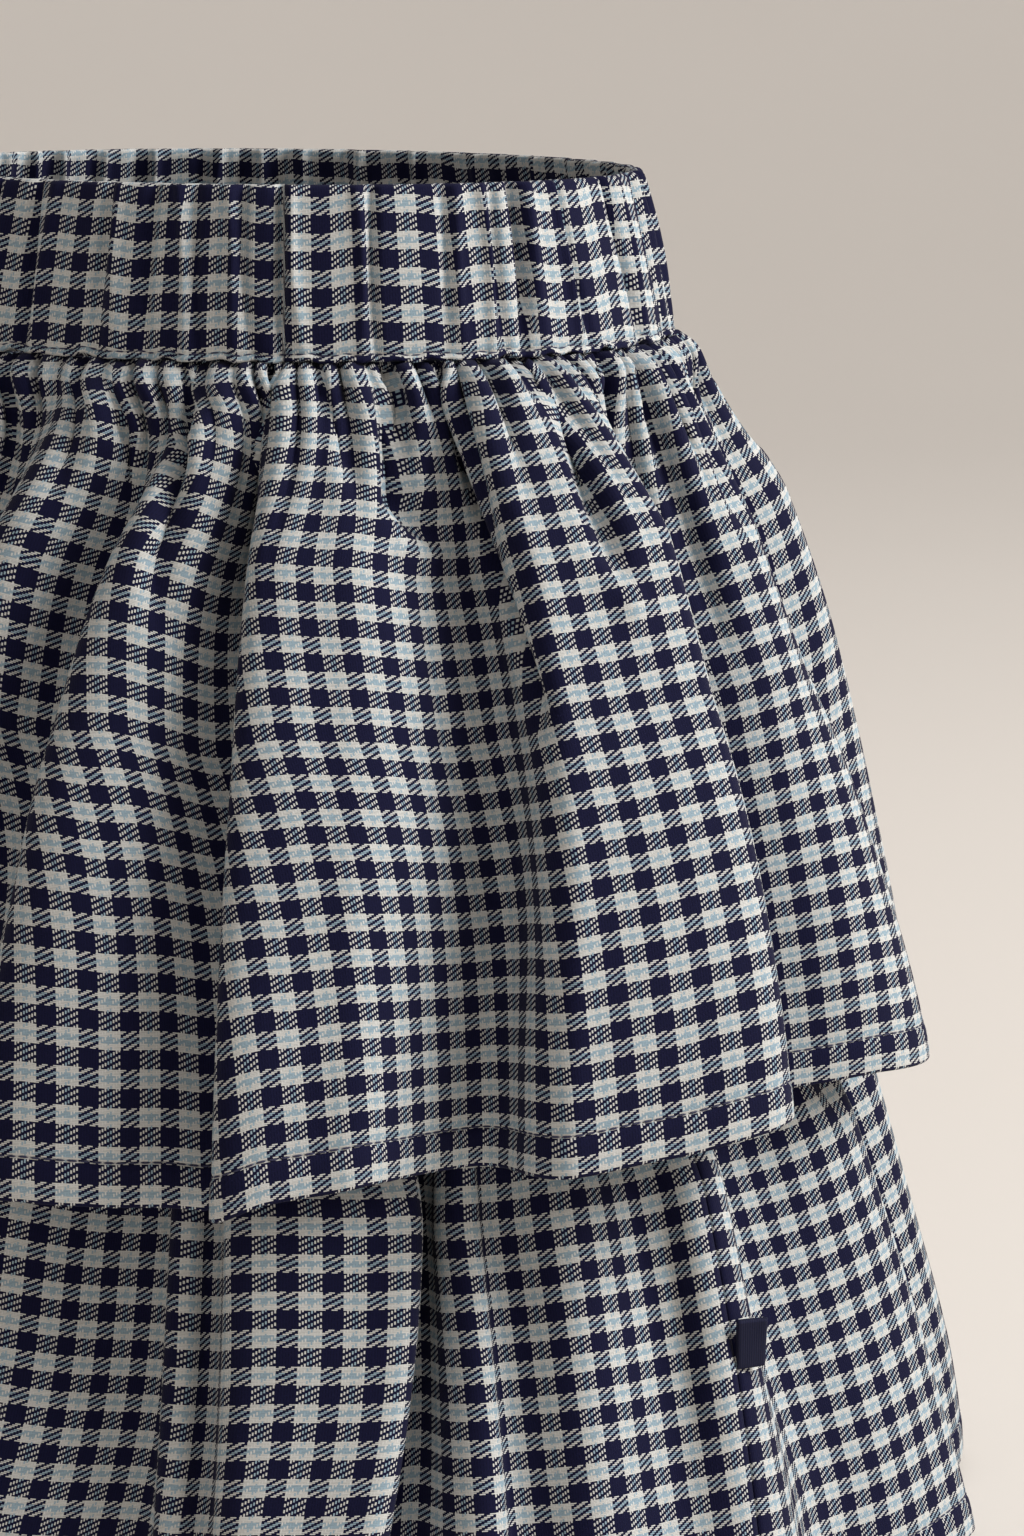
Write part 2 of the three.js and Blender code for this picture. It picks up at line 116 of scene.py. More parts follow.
# %% The upper tier's fold lines
# Each row is one line: its angle at the seam, at a third and at the hem, then its depth near the seam, at
# a third, at two thirds and at the hem. Two more numbers, where they aren't both 1, say how the cloth
# swings on to the next line: above 1 the first makes it steepest late, and below 1 the second makes it
# straighter, with tighter bends.
def fold_chart(rows):
    return np.array([row if len(row) == 9 else row + [1, 1] for row in rows])


UPPER_FOLDS = fold_chart([
    [34, 24, 18, -3, -8, -8, -6],
    [41, 30, 24, 3, 7, 8, 8, 1.2, 0.8],
    [45.6, 43.2, 42.4, -5, -10, -12, -8, 0.9, 0.7],
    [47.6, 44.6, 43.6, 3, 6, 9, 11],
    [53, 53, 52, 2, 4, 5, 6, 0.75, 0.8],
    [67.7, 70, 64.5, -4, -8, -12, -14, 1, 0.6],
    [69.9, 73.2, 69.3, 4, 10, 15, 15, 1, 0.7],
    [85, 87.2, 85.1, 5, 12, 19, 22, 1, 0.6],
    [93, 96, 98, -6, -14, -17, -18, 0.7, 0.8],
    [106, 110, 116, 3, 5, 7, 9],
    [124, 127, 132, -4, -9, -11, -9],
    [134, 139, 143, 3, 8, 9, 8],
    [145, 149, 154, -4, -9, -10, -8],
    [156, 160, 163, 3, 7, 8, 7],
    [166, 170, 172, -4, -8, -8, -5],
    [175, 180, 181, 4, 8, 9, 7, 1.3, 0.8],
    [185, 191, 192, -3, -9, -11, -9],
    [196, 202, 203, 3, 8, 10, 9],
    [206, 212, 213, -4, -9, -8, -6],
    [217, 222, 222, 3, 7, 8, 7],
    [228, 232, 231, -5, -10, -13, -12, 0.8, 0.8],
    [238, 241, 240, 4, 8, 9, 9],
    [248, 250, 251, -3, -8, -9, -7],
    [258, 259, 262, 3, 8, 9, 8, 1.3, 0.8],
    [267, 268, 272, -4, -10, -14, -14, 0.8, 0.8],
    [276, 277, 280, 3, 8, 9, 9],
    [286, 286, 288, -4, -8, -8, -5],
    [295, 295, 296, 4, 7, 8, 7],
    [304, 304, 305, -3, -9, -10, -8],
    [313, 312, 313, 3, 8, 9, 8],
    [322, 321, 321, -4, -10, -12, -11, 0.8, 0.8],
    [331, 329, 329, 4, 8, 9, 9],
    [340, 337, 337, -3, -9, -10, -8],
    [349, 345, 344, 3, 8, 9, 8, 1.3, 0.8],
    [358, 353, 351, -4, -8, -11, -10, 0.8, 0.8],
    [368, 361, 358, 3, 7, 8, 8],
    [376, 368, 364, -3, -6, -6, -5],
    [385, 376, 371, 3, 6, 7, 6],
])
print("upper tier:", len(UPPER_FOLDS), "fold lines")

# %% The lower tier's fold lines, in the same columns
LOWER_FOLDS = fold_chart([
    [34.5, 34.5, 34, -3, -7, -9, -9],
    [38, 38, 37.5, 1, 2, 3, 3],
    [39.8, 39.8, 39.5, 0, -1, -2, -3],
    [43.5, 43.5, 43, 4, 8, 10, 11],
    [56, 56.8, 50, 2, 5, 7, 8, 1.2, 0.6],
    [58.5, 59, 53, -4, -12, -16, -17],
    [63.5, 63.5, 62, 1, 1, 3, 4],
    [66.5, 66, 65, -1, -3, -4, -4],
    [74, 73, 72, 1, 4, 5, 6],
    [80.5, 80.5, 79, 0, 1, 1, 2],
    [86, 86, 85, 3, 8, 10, 11, 1, 0.7],
    [98, 98.5, 99, -4, -9, -12, -14, 0.8, 0.8],
    [113, 116, 118, 3, 6, 8, 10],
    [124, 125, 125, -3, -8, -9, -12],
    [136, 137, 138, 3, 8, 10, 12],
    [148, 150, 151, -3, -9, -11, -13],
    [161, 162, 163, 3, 8, 10, 13],
    [174, 174, 173, -3, -8, -10, -12],
    [186, 186, 187, 3, 8, 10, 12],
    [199, 199, 200, -3, -9, -12, -14],
    [212, 212, 213, 3, 8, 11, 13],
    [224, 225, 224, -3, -8, -10, -12],
    [236, 237, 238, 3, 8, 10, 12],
    [249, 249, 251, -3, -9, -12, -14],
    [261, 262, 263, 3, 8, 10, 13],
    [274, 274, 273, -3, -8, -11, -12],
    [286, 287, 288, 3, 8, 10, 12],
    [299, 299, 300, -3, -9, -11, -13],
    [311, 312, 311, 3, 8, 10, 12],
    [323, 324, 325, -3, -8, -11, -13],
    [335, 336, 337, 3, 8, 10, 13],
    [347, 348, 349, -3, -9, -11, -13],
    [358, 360, 360, 3, 8, 10, 12],
    [369, 370, 370, -3, -8, -11, -12],
    [379, 379, 379, 3, 7, 9, 10],
])
print("lower tier:", len(LOWER_FOLDS), "fold lines")

# %% Each tier as cut and as worn
# seam and hem are half-widths of the plain ring, and flare above 1 makes it widen faster at first.
# tightness is the cloth crowded in at the seam, reach how far down that lasts, and level how much of a
# fold's own difference in height is left at the hem. least is the smallest scale of the folds that the
# picture shows, so that they keep their charted depth and the other side takes up the difference. rise
# lifts the hem, by angle, in millimetres.
UPPER = dict(
    folds=UPPER_FOLDS, width=1180, length=199, seam=WAIST, hem=np.array([172.0, 160.0]), flare=1.35,
    tightness=0.7, reach=17, puff=3.0, side=90, top=UPPER_TOP, level=0.35, seed=4, shift=0.7,
    least=1.0, rise=[
        (-20, 0), (10, 0), (22, -3.5), (33, -4.5), (43, -5), (48, 0.2), (51, 2), (56, 4.2), (65, 5), (72, 6),
        (79, 7.4), (82, 8.7), (87, 10), (94, 9.5), (100, 8.7), (108, 8), (117, 5.2), (130, 2), (150, 0),
        (340, 0),
    ],
)
LOWER = dict(
    folds=LOWER_FOLDS, width=1240, length=166, seam=np.array([136.0, 120.0]), hem=np.array([189.0, 171.0]),
    flare=1.15, tightness=0.55, reach=20, puff=1.5, side=85.5, top=LOWER_TOP, level=0.5, seed=9, shift=0.5,
    least=0.75, rise=[(0, 0), (340, 0)],
)

# %% [markdown]
# A fold line's chart gives a few values down its length, and the cloth needs one at every height. A
# spline object could hold them. A short function with the same smooth curve is easier to read and works
# on all lines at once.

# %% A smooth curve through charted values
ANGLE_PLACES = [0, 0.35, 1]
DEPTH_PLACES = [0, 0.12, 0.35, 0.65, 1]


def through(places, values, t):
    k = 0
    while k < len(places) - 2 and t > places[k + 1]:
        k += 1
    width = places[k + 1] - places[k]
    chord = (values[:, k + 1] - values[:, k]) / width

    def slope(i):
        if i <= 0 or i >= len(places) - 1:
            return chord
        return (values[:, i + 1] - values[:, i - 1]) / (places[i + 1] - places[i - 1])

    s = min(1, max(0, (t - places[k]) / width))
    bend = slope(k) * s * (1 - s) ** 2 - slope(k + 1) * s * s * (1 - s)
    return values[:, k] * (1 + 2 * s) * (1 - s) ** 2 + values[:, k + 1] * s * s * (3 - 2 * s) + width * bend


# %% [markdown]
# Round the body the cloth swings from each ridge to the next trough. A plain zigzag would be too sharp
# and a sine wave would have no room for deep folds. Here the cloth leans by a sine of its own length,
# steep in the middle of the swing and level at the ridge, which is the curve that a strip of springy
# cloth takes by itself.

# %% The swing of the cloth between a ridge and a trough
SWING_STEPS = 40
SWING_PLACES = (np.arange(SWING_STEPS) + 0.5) / SWING_STEPS
LEANS = np.linspace(0, 2.1, 300)  # radians, from level to a little past upright
LEAST_RUN = 0.12


def swing_tables(folds):
    """For each fold: the shape of its swing, and the steepness of the whole swing for each lean."""
    shape = np.sin(np.pi * SWING_PLACES ** folds[:, 7:8]) ** folds[:, 8:9]
    leans = LEANS[:, None, None] * shape
    run = np.maximum(np.cos(leans).mean(2), LEAST_RUN)
    steepness = np.maximum.accumulate(np.sin(leans).mean(2) / run, 0)
    return shape, steepness + np.arange(len(LEANS))[:, None] * 1e-6


def swings(tables, ratios):
    """For each rise over run: the cloth's way along and across, for a length of one."""
    shape, steepness = tables
    lean = np.array([np.interp(ratio, steepness[:, k], LEANS) for k, ratio in enumerate(ratios)])
    lean = lean[:, None] * shape
    zero = np.zeros((len(ratios), 1))
    along = np.hstack([zero, np.cumsum(np.cos(lean), 1) / SWING_STEPS])
    across = np.hstack([zero, np.cumsum(np.sin(lean), 1) / SWING_STEPS])
    return along, across


UPPER["swing"] = swing_tables(UPPER_FOLDS)
LOWER["swing"] = swing_tables(LOWER_FOLDS)
print("steepest swing, rise over run:", round(float(UPPER["swing"][1].max()), 1))

# %% [markdown]
# Under its folds a tier lies round the body on an oval, narrow at the seam and wide at the hem. A curve
# object could be that oval. Here it is an ellipse in numbers that is measured along its edge, because the
# folds are placed by angle while the cloth between them is counted in millimetres.

# %% The plain ring under the folds
DEGREES = np.arange(0, 360.25, 0.25)


def ring_arc(half):
    t = np.radians(DEGREES)
    x, y = half[0] * np.sin(t), -half[1] * np.cos(t)
    return np.concatenate([[0], np.cumsum(np.hypot(np.diff(x), np.diff(y)))])


def arc_at(arc, degrees):
    turns = np.floor(degrees / 360)
    return turns * arc[-1] + np.interp(degrees - 360 * turns, DEGREES, arc)


def angle_at(arc, length):
    turns = np.floor(length / arc[-1])
    return 360 * turns + np.interp(length - arc[-1] * turns, arc, DEGREES)


def ring_point(half, degrees, out):
    t = np.radians(degrees)
    nx, ny = half[1] * np.sin(t), -half[0] * np.cos(t)
    size = np.hypot(nx, ny)
    return half[0] * np.sin(t) + nx / size * out, -half[1] * np.cos(t) + ny / size * out


# %% [markdown]
# At each height the ring and the folds give one closed line, the section. The folds can't be of any
# depth: the line has to be as long as the cloth is wide. A solver could find the depths. Here one scale
# for them all is found by halving its range again and again, which is short and always ends.

# %% A tier's section at one height
SHOWN = (15, 120)  # the picture shows the fold lines that reach the hem between these angles


def section_parts(tier, share, scale):
    """The ring and the folds' swings a share of the way down, with the charted depths times scale."""
    spread = 1 - (1 - share) ** tier["flare"]
    half = tier["seam"] + (tier["hem"] - tier["seam"]) * spread
    folds = tier["folds"]
    angles = through(ANGLE_PLACES, folds[:, :3], share)
    depths = np.hstack([np.zeros((len(folds), 1)), folds[:, 3:7]])
    shown = (folds[:, 2] > SHOWN[0]) & (folds[:, 2] < SHOWN[1])
    outs = np.where(shown, max(scale, tier["least"]), scale) * through(DEPTH_PLACES, depths, share)
    angles = np.append(angles, angles[0] + 360)
    outs = np.append(outs, outs[0])
    arc = ring_arc(half)
    starts = arc_at(arc, angles)
    chords = np.diff(starts)
    rises = np.diff(outs)
    along, across = swings(tier["swing"], np.abs(rises) / chords)
    lengths = chords / along[:, -1]
    return half, arc, starts[:-1], outs[:-1], np.sign(rises), along, across, lengths


def section(tier, share, scale):
    half, arc, starts, outs, signs, along, across, lengths = section_parts(tier, share, scale)
    here = angle_at(arc, starts[:, None] + lengths[:, None] * along)
    x, y = ring_point(half, here, outs[:, None] + (signs * lengths)[:, None] * across)
    return x, y, lengths


MOST_SCALE = 1.5


def crowding(tier, down):
    """How much wider the cloth is than the line it is gathered onto."""
    return 1 + tier["tightness"] * math.exp(-((down / tier["reach"]) ** 1.3))


def fitted_section(tier, down):
    """The section whose folds take up the cloth that the gathers leave, within reason near the seam."""
    wanted = tier["width"] / crowding(tier, down)
    low, high = 0.0, MOST_SCALE
    for _ in range(22):
        middle = (low + high) / 2
        if section_parts(tier, down / tier["length"], middle)[-1].sum() < wanted:
            low = middle
        else:
            high = middle
    return section(tier, down / tier["length"], (low + high) / 2)


def fold_widths(tier):
    """The width of cloth in each side of a fold, which is the same at every height."""
    totals = sum(fitted_section(tier, share * tier["length"])[2] for share in (0.35, 0.6, 0.8, 1))
    return totals * tier["width"] / totals.sum()


def row_widths(tier, widths, lengths):
    """At each height, part of the cloth moves between neighbouring folds: a deep fold takes some in."""
    own = lengths * tier["width"] / lengths.sum()
    return widths + (own - widths) * tier["shift"]


tier_widths = {"upper": fold_widths(UPPER), "lower": fold_widths(LOWER)}
print("cloth in the upper tier's folds, mm:", tier_widths["upper"].round().astype(int).tolist())

# %% [markdown]
# Where a tier is sewn in, the cloth is drawn up on a thread, and it puckers in small uneven tucks. A
# displacement texture could push them out, but it wouldn't follow the threads of the cloth. So the tucks
# are part of the mesh: a wave along the seam, round on its ridges and sharp in between, whose pitch,
# height and length down the cloth change from one tuck to the next.

# %% The gathers
TUCK_PITCHES = (8.5, 15.5)  # millimetres of cloth from one tuck to the next
MEAN_TUCK = 11.5
TUCK_HEIGHTS = (0.4, 1.85)
TUCK_REACHES = (0.45, 2.5)
TUCK_WAVE = 1.35
WAVE_MEAN = 1.27  # twice the mean of a rectified sine, so that the tucks stand as far out as in


def gathers(tier, across, down, ratio):
    """How far the tucks stand out, where the cloth is ratio times as wide as the line it is gathered onto."""
    chance = np.random.default_rng(tier["seed"])
    pitches = chance.uniform(*TUCK_PITCHES, int(tier["width"] / MEAN_TUCK))
    pitches *= tier["width"] / pitches.sum()
    places = np.concatenate([[0], np.cumsum(pitches)])
    phase = np.interp(across, places, np.arange(len(places)))
    height = np.interp(across, places, np.append(chance.uniform(*TUCK_HEIGHTS, len(pitches)), 0.8))
    reach = np.interp(across, places, np.append(chance.uniform(*TUCK_REACHES, len(pitches)), 1.0))
    pitch = np.interp(across, (places[1:] + places[:-1]) / 2, pitches)
    tuck = pitch / ratio / np.pi * np.sqrt(np.maximum(ratio - 1, 0)) * height
    fade = np.exp(-((down / (tier["reach"] * 0.9 * reach)) ** 1.6))
    return tuck * fade * TUCK_WAVE * (2 * np.abs(np.sin(np.pi * phase)) - WAVE_MEAN)


# %% [markdown]
# The tier is now a grid: columns of thread that run down from the seam, and rows that run round. Each row
# comes from its own section, and its height from the cloth's length: where a fold swings out, the cloth
# has less length left to go down. The grid keeps the cloth's own measures, across and down, which later
# become its UV map.

# %% The grid of a tier
HEM_DEPTH = 9.0


def rows_down(length, near, far, changing):
    """Rows that are close together at the seam, where the tucks are, and again in the turned hem."""
    steps = [0.0]
    while steps[-1] < length - HEM_DEPTH - 1:
        share = min(1, steps[-1] / changing)
        steps.append(steps[-1] + near + (far - near) * share)
    steps = np.array(steps) * (length - HEM_DEPTH - 1) / steps[-1]
    hem = length - HEM_DEPTH + np.array([-0.4, 0.0, 0.4, 0.8, 1.4, 2.4, 4.2, 6.2, 8.0])
    return np.concatenate([steps, hem, [length]])


def side_seam(tier):
    """Where the wearer's left side seam crosses the hem: the fold, and the share of its swing."""
    x, y, _ = fitted_section(tier, tier["length"])
    turn = math.radians(tier["side"])
    past = x * math.cos(turn) + y * math.sin(turn)
    outer = x * math.sin(turn) - y * math.cos(turn)
    fold, k = np.argwhere((outer[:, :-1] > 0) & (past[:, :-1] < 0) & (past[:, 1:] >= 0))[0]
    return fold, (k - past[fold, k] / (past[fold, k + 1] - past[fold, k])) / SWING_STEPS


def row_points(x, y, cloth, start, across):
    """Points along a section at the given measures of cloth, the way out at each, and each one's fold."""
    edges = np.concatenate([[0], np.cumsum(cloth)])
    place = (edges[start[0]] + cloth[start[0]] * start[1] + across) % across[-1]
    fold = np.clip(np.searchsorted(edges, place, side="right") - 1, 0, len(cloth) - 1)
    steps = (place - edges[fold]) / cloth[fold] * SWING_STEPS
    step_in = np.minimum(SWING_STEPS - 1, steps.astype(int))
    rest = steps - step_in
    px = x[fold, step_in] + rest * (x[fold, step_in + 1] - x[fold, step_in])
    py = y[fold, step_in] + rest * (y[fold, step_in + 1] - y[fold, step_in])
    tx, ty = np.gradient(px), np.gradient(py)
    tx[0] = tx[-1] = px[1] - px[0] + px[-1] - px[-2]
    ty[0] = ty[-1] = py[1] - py[0] + py[-1] - py[-2]
    size = np.hypot(tx, ty)
    return px, py, np.stack([ty / size, -tx / size], 1), fold


LEAST_FALL = 0.55  # the least height that a row of cloth falls, as a share of its length


def tier_grid(tier, widths, columns, downs):
    start = side_seam(tier)
    across = np.linspace(0, tier["width"], columns + 1)
    grid = np.zeros((len(downs), columns + 1, 3))
    drop = np.zeros(columns + 1)
    before = None
    for r, down in enumerate(downs):
        x, y, lengths = fitted_section(tier, down)
        cloth = row_widths(tier, widths, lengths)
        px, py, out, fold = row_points(x, y, cloth, start, across)
        if before is not None:
            step = down - downs[r - 1]
            moved = np.hypot(px - before[0], py - before[1])
            drop = drop - np.sqrt(np.maximum(step**2 - moved**2, (LEAST_FALL * step) ** 2))
        before = (px, py)
        ratio = np.maximum(1, cloth[fold] / lengths[fold])
        # the cloth is caught in at the seam and puffs out just under it
        puff = tier["puff"] * math.exp(-down / 30) * (1.15 - 1.15 * math.exp(-((down / 3) ** 1.5)))
        lift = puff - 0.6 * math.exp(-down / 2) + gathers(tier, across, down, ratio)
        mean = drop[:-1].mean()
        lower = (down / tier["length"]) ** 1.5
        degrees = np.degrees(np.arctan2(px, -py)) % 360
        grid[r, :, 0] = px + out[:, 0] * lift
        grid[r, :, 1] = py + out[:, 1] * lift
        rise = np.interp(degrees, *zip(*tier["rise"]), period=360) * lower
        grid[r, :, 2] = tier["top"] + mean + (1 + (tier["level"] - 1) * lower) * (drop - mean) + rise
    return grid, across


UPPER_COLUMNS = 960
LOWER_COLUMNS = 720
upper_downs = rows_down(UPPER["length"], 1.3, 3.6, 60)
lower_downs = rows_down(LOWER["length"], 1.5, 3.6, 50)
upper_grid, upper_across = tier_grid(UPPER, tier_widths["upper"], UPPER_COLUMNS, upper_downs)
lower_grid, lower_across = tier_grid(LOWER, tier_widths["lower"], LOWER_COLUMNS, lower_downs)
print("upper grid:", upper_grid.shape[:2], "lower grid:", lower_grid.shape[:2])

# %% [markdown]
# The base and the lower tier hang inside the upper one. Where a trough of the upper tier reaches in, the
# cloth under it gives way. A collision in a cloth simulation would do this. Here the inmost reach of the
# upper tier is charted by direction and height, and what lies deeper is pressed in softly, which leaves
# no crossing cloth.

# %% What lies under the upper tier
UNDER_GAP = 2.2
REACH_STEP = 2.0
REACH_HEIGHTS = np.arange(-232.0, -18.0, REACH_STEP)
FREE_SLOPE = 1.2  # how fast the cloth may widen again, once it has passed below the hem above it
BLUR_DEGREES = 2.2


def inmost_reach(grid):
    """For each height and each whole degree: how near a tier comes to the body's axis."""
    reach = np.full((len(grid), 360), 1e3)
    height = np.zeros((len(grid), 360))
    for r, row in enumerate(grid):
        radius = np.hypot(row[:, 0], row[:, 1])
        degrees = np.round(np.degrees(np.arctan2(row[:, 0], -row[:, 1]))).astype(int)
        for near in range(-2, 3):
            np.minimum.at(reach[r], (degrees + near) % 360, radius)
        height[r] = np.interp(np.arange(360), np.sort(degrees % 360), row[np.argsort(degrees % 360), 2])
    table = np.zeros((len(REACH_HEIGHTS), 360))
    for d in range(360):
        table[:, d] = np.interp(-REACH_HEIGHTS, -height[:, d], reach[:, d])
        below = np.maximum(0, height[-1, d] - 6 - REACH_HEIGHTS)
        table[:, d] += below * FREE_SLOPE
    soft = np.exp(-((np.arange(-6, 7) / BLUR_DEGREES) ** 2))
    soft /= soft.sum()
    return sum(w * np.roll(table, k, 1) for w, k in zip(soft, range(-6, 7)))


def keep_under(grid, table):
    """Press in softly what would reach past the table's limit."""
    radius = np.hypot(grid[..., 0], grid[..., 1])
    degrees = np.degrees(np.arctan2(grid[..., 0], -grid[..., 1])) % 360
    level = np.clip((grid[..., 2] - REACH_HEIGHTS[0]) / REACH_STEP, 0, len(REACH_HEIGHTS) - 1.001)
    i, d = level.astype(int), degrees.astype(int) % 360
    di, dd = level - i, degrees - np.floor(degrees)
    e = (d + 1) % 360
    limit = (table[i, d] * (1 - dd) + table[i, e] * dd) * (1 - di)
    limit += (table[i + 1, d] * (1 - dd) + table[i + 1, e] * dd) * di
    limit -= CLOTH_WALL + UNDER_GAP
    held = limit - 1.5 * np.logaddexp(0, (limit - radius) / 1.5)
    scale = np.where(radius < limit - 8, 1, held / radius)
    out = grid.copy()
    out[..., :2] *= scale[..., None]
    return out


upper_reach = inmost_reach(upper_grid)
lower_before = lower_grid
lower_grid = keep_under(lower_grid, upper_reach)
print("lower tier pressed in by up to", round(float(np.abs(lower_grid - lower_before).max()), 1), "mm")

# %% [markdown]
# The base is a plain tube of cloth from the waist to the lower tier's seam, sewn from two flat panels. A
# cylinder could be scaled to fit, but it also has to give way under the upper tier, so it is a grid of
# rings as well.

# %% The base, plain rings of cloth
BASE_SEAM = WAIST - 2.2
BASE_HEM = np.array([135.5, 119.5])
BASE_COLUMNS = 360
base_downs = np.linspace(0, BASE_LENGTH, 51)
base_around = 90 + np.linspace(0, 360, BASE_COLUMNS + 1)
base_grid = np.zeros((len(base_downs), BASE_COLUMNS + 1, 3))
for r, down in enumerate(base_downs):
    spread = 1 - (1 - down / BASE_LENGTH) ** 1.1
    base_x, base_y = ring_point(BASE_SEAM + (BASE_HEM - BASE_SEAM) * spread, base_around, 0)
    base_grid[r] = np.stack([base_x, base_y, np.full(base_x.shape, UPPER_TOP - BASE_FALL * down)], 1)
base_grid[1:] = keep_under(base_grid[1:], upper_reach)
base_round = float(np.hypot(*np.diff(base_grid[-1, :, :2], axis=0).T).sum())
base_across = np.linspace(0, base_round, BASE_COLUMNS + 1)
print("base, round its lower edge, mm:", round(base_round))

# %% [markdown]
# The cloth also has soft dents, and creases from wear and from the gathers' pull. They could be sculpted
# by hand. Here each one is a short line in the cloth's own measures with a depth and a width, so it can
# be read and changed.

# %% Creases and dents
def outward(grid):
    """The direction out of the cloth at each point of a grid that closes on itself."""
    ahead = np.concatenate([grid[:, 1:], grid[:, 1:2]], 1)
    behind = np.concatenate([grid[:, -2:-1], grid[:, :-1]], 1)
    out = np.cross(np.gradient(grid, axis=0), ahead - behind)
    return out / np.linalg.norm(out, axis=2, keepdims=True)


def crease_field(across, downs, width, creases):
    """The height that the creases add at each point of the cloth, which closes on itself after width."""
    u, v = np.meshgrid(across, downs)
    field = np.zeros(u.shape)
    for line, depth, spread in creases:
        best = np.full(u.shape, 1e9)
        taper = np.zeros(u.shape)
        total = sum(math.dist(a, b) for a, b in zip(line, line[1:]))
        gone = 0.0
        for (u0, v0), (u1, v1) in zip(line, line[1:]):
            length = math.dist((u0, v0), (u1, v1))
            for turn in (-width, 0, width):
                du, dv = u + turn - u0, v - v0
                part = np.clip((du * (u1 - u0) + dv * (v1 - v0)) / length**2, 0, 1)
                away_from = np.hypot(du - part * (u1 - u0), dv - part * (v1 - v0))
                closer = away_from < best
                best = np.where(closer, away_from, best)
                here = (gone + part * length) / total
                taper = np.where(closer, np.sin(np.pi * np.clip(here * 0.9 + 0.05, 0, 1)) ** 0.7, taper)
            gone += length
        x = (best / spread) ** 2
        field += depth * taper * (1 - 0.5 * x) * np.exp(-x)
    return field


SLACK_WAVES = 26
SLACK_HEIGHT = 0.35


def slack(across, downs, width, seed):
    """Low uneven waves, as cloth that has been worn and hung is never quite smooth."""
    chance = np.random.default_rng(seed)
    u, v = np.meshgrid(across, downs)
    field = np.zeros(u.shape)
    for _ in range(SLACK_WAVES):
        rounds = chance.integers(int(width / 110), int(width / 26))
        rise = chance.uniform(-0.09, 0.09)
        field += np.sin(2 * np.pi * rounds * u / width + rise * v + chance.uniform(0, 6.3)) / SLACK_WAVES**0.5
    return SLACK_HEIGHT * field


def hem_shape(downs, length):
    """The turned hem: a groove along its stitches and a little fullness below them."""
    from_stitch = downs - (length - HEM_DEPTH)
    groove = -0.32 * np.exp(-((from_stitch / 0.7) ** 2))
    full = 0.3 * np.where(from_stitch > 0, 1 - np.exp(-((from_stitch / 1.2) ** 2)), 0)
    return (groove + full)[:, None]


# %% The charted creases: a line in the cloth's measures (across, down), a depth and a half-width
UPPER_CREASES = [
    ([(1088, 2), (1084, 18), (1083, 32), (1092, 41)], -8.0, 6.0),
    ([(1076, 38), (1085, 45), (1098, 47)], 1.8, 4.0),
    ([(1108, 0), (1109, 12), (1114, 38), (1121, 62), (1126, 90)], -8.0, 4.0),
    ([(1155, 0), (1157, 16), (1154, 38), (1152, 62)], -7.0, 4.5),
    ([(1148, 58), (1156, 72)], 2.2, 4.0),
    ([(20, 2), (17, 17), (24, 38), (33, 60)], -4.5, 4.0),
    ([(44, 3), (50, 22), (52, 46), (50, 78)], -3.5, 4.5),
    ([(72, 2), (70, 24), (68, 52)], -4.0, 4.5),
    ([(1062, 2), (1064, 18), (1068, 30)], -3.0, 4.0),
    ([(958, 2), (955, 18), (960, 34)], -4.0, 4.5),
    ([(992, 2), (982, 22), (992, 46), (994, 64)], -6.0, 4.5),
    ([(1032, 2), (1027, 24), (1034, 66)], -6.0, 4.0),
    ([(1088, 52), (1089, 72), (1091, 118)], -1.0, 2.5),
]
# the picture doesn't show the cloth from here to there, so its creases fall by chance
chance = np.random.default_rng(12)
place = 96.0
while place < 940:
    lean, end = chance.uniform(-6, 6), chance.uniform(24, 70)
    line = [(place, 2), (place + lean, end * 0.45), (place + lean * chance.uniform(0.2, 1.8), end)]
    UPPER_CREASES.append((line, -chance.uniform(3.0, 5.5), chance.uniform(3.8, 5.5)))
    place += chance.uniform(20, 42)
LOWER_CREASES = [
    ([(1231, 40), (1230, 60), (1228, 110)], -2.0, 3.0),
]
place = 24.0
while place < 1200:
    lean, end = chance.uniform(-5, 5), chance.uniform(20, 50)
    line = [(place, 2), (place + lean, end * 0.5), (place + lean * 1.3, end)]
    LOWER_CREASES.append((line, -chance.uniform(2.0, 4.0), chance.uniform(3.8, 5.5)))
    place += chance.uniform(26, 50)
print("creases charted:", len(UPPER_CREASES) + len(LOWER_CREASES))

# %% The creased tiers
def worked(grid, across, downs, tier, creases, seed):
    """The tier with its creases, its slack and its turned hem."""
    field = crease_field(across, downs, tier["width"], creases)
    fading = np.clip((downs - 4) / 20, 0, 1)[:, None]
    field += slack(across, downs, tier["width"], seed) * fading
    field += hem_shape(downs, tier["length"])
    return grid + outward(grid) * field[..., None]


upper_cloth = worked(upper_grid, upper_across, upper_downs, UPPER, UPPER_CREASES, 21)
lower_cloth = worked(lower_grid, lower_across, lower_downs, LOWER, LOWER_CREASES, 22)
lower_cloth = keep_under(lower_cloth, inmost_reach(upper_cloth))
upper_moved = np.linalg.norm(upper_cloth - upper_grid, axis=2)
print("deepest crease in the upper tier, mm:", round(float(upper_moved.max()), 1))

# %% [markdown]
# The waistband is a tube of cloth round a flat elastic, which ruches it into flat stretches with deep
# creases between them. Each crease is charted by its angle at the top and the bottom, its depth and its
# width. They follow the picture on the side it shows, and the rest of the band goes on in the same way.

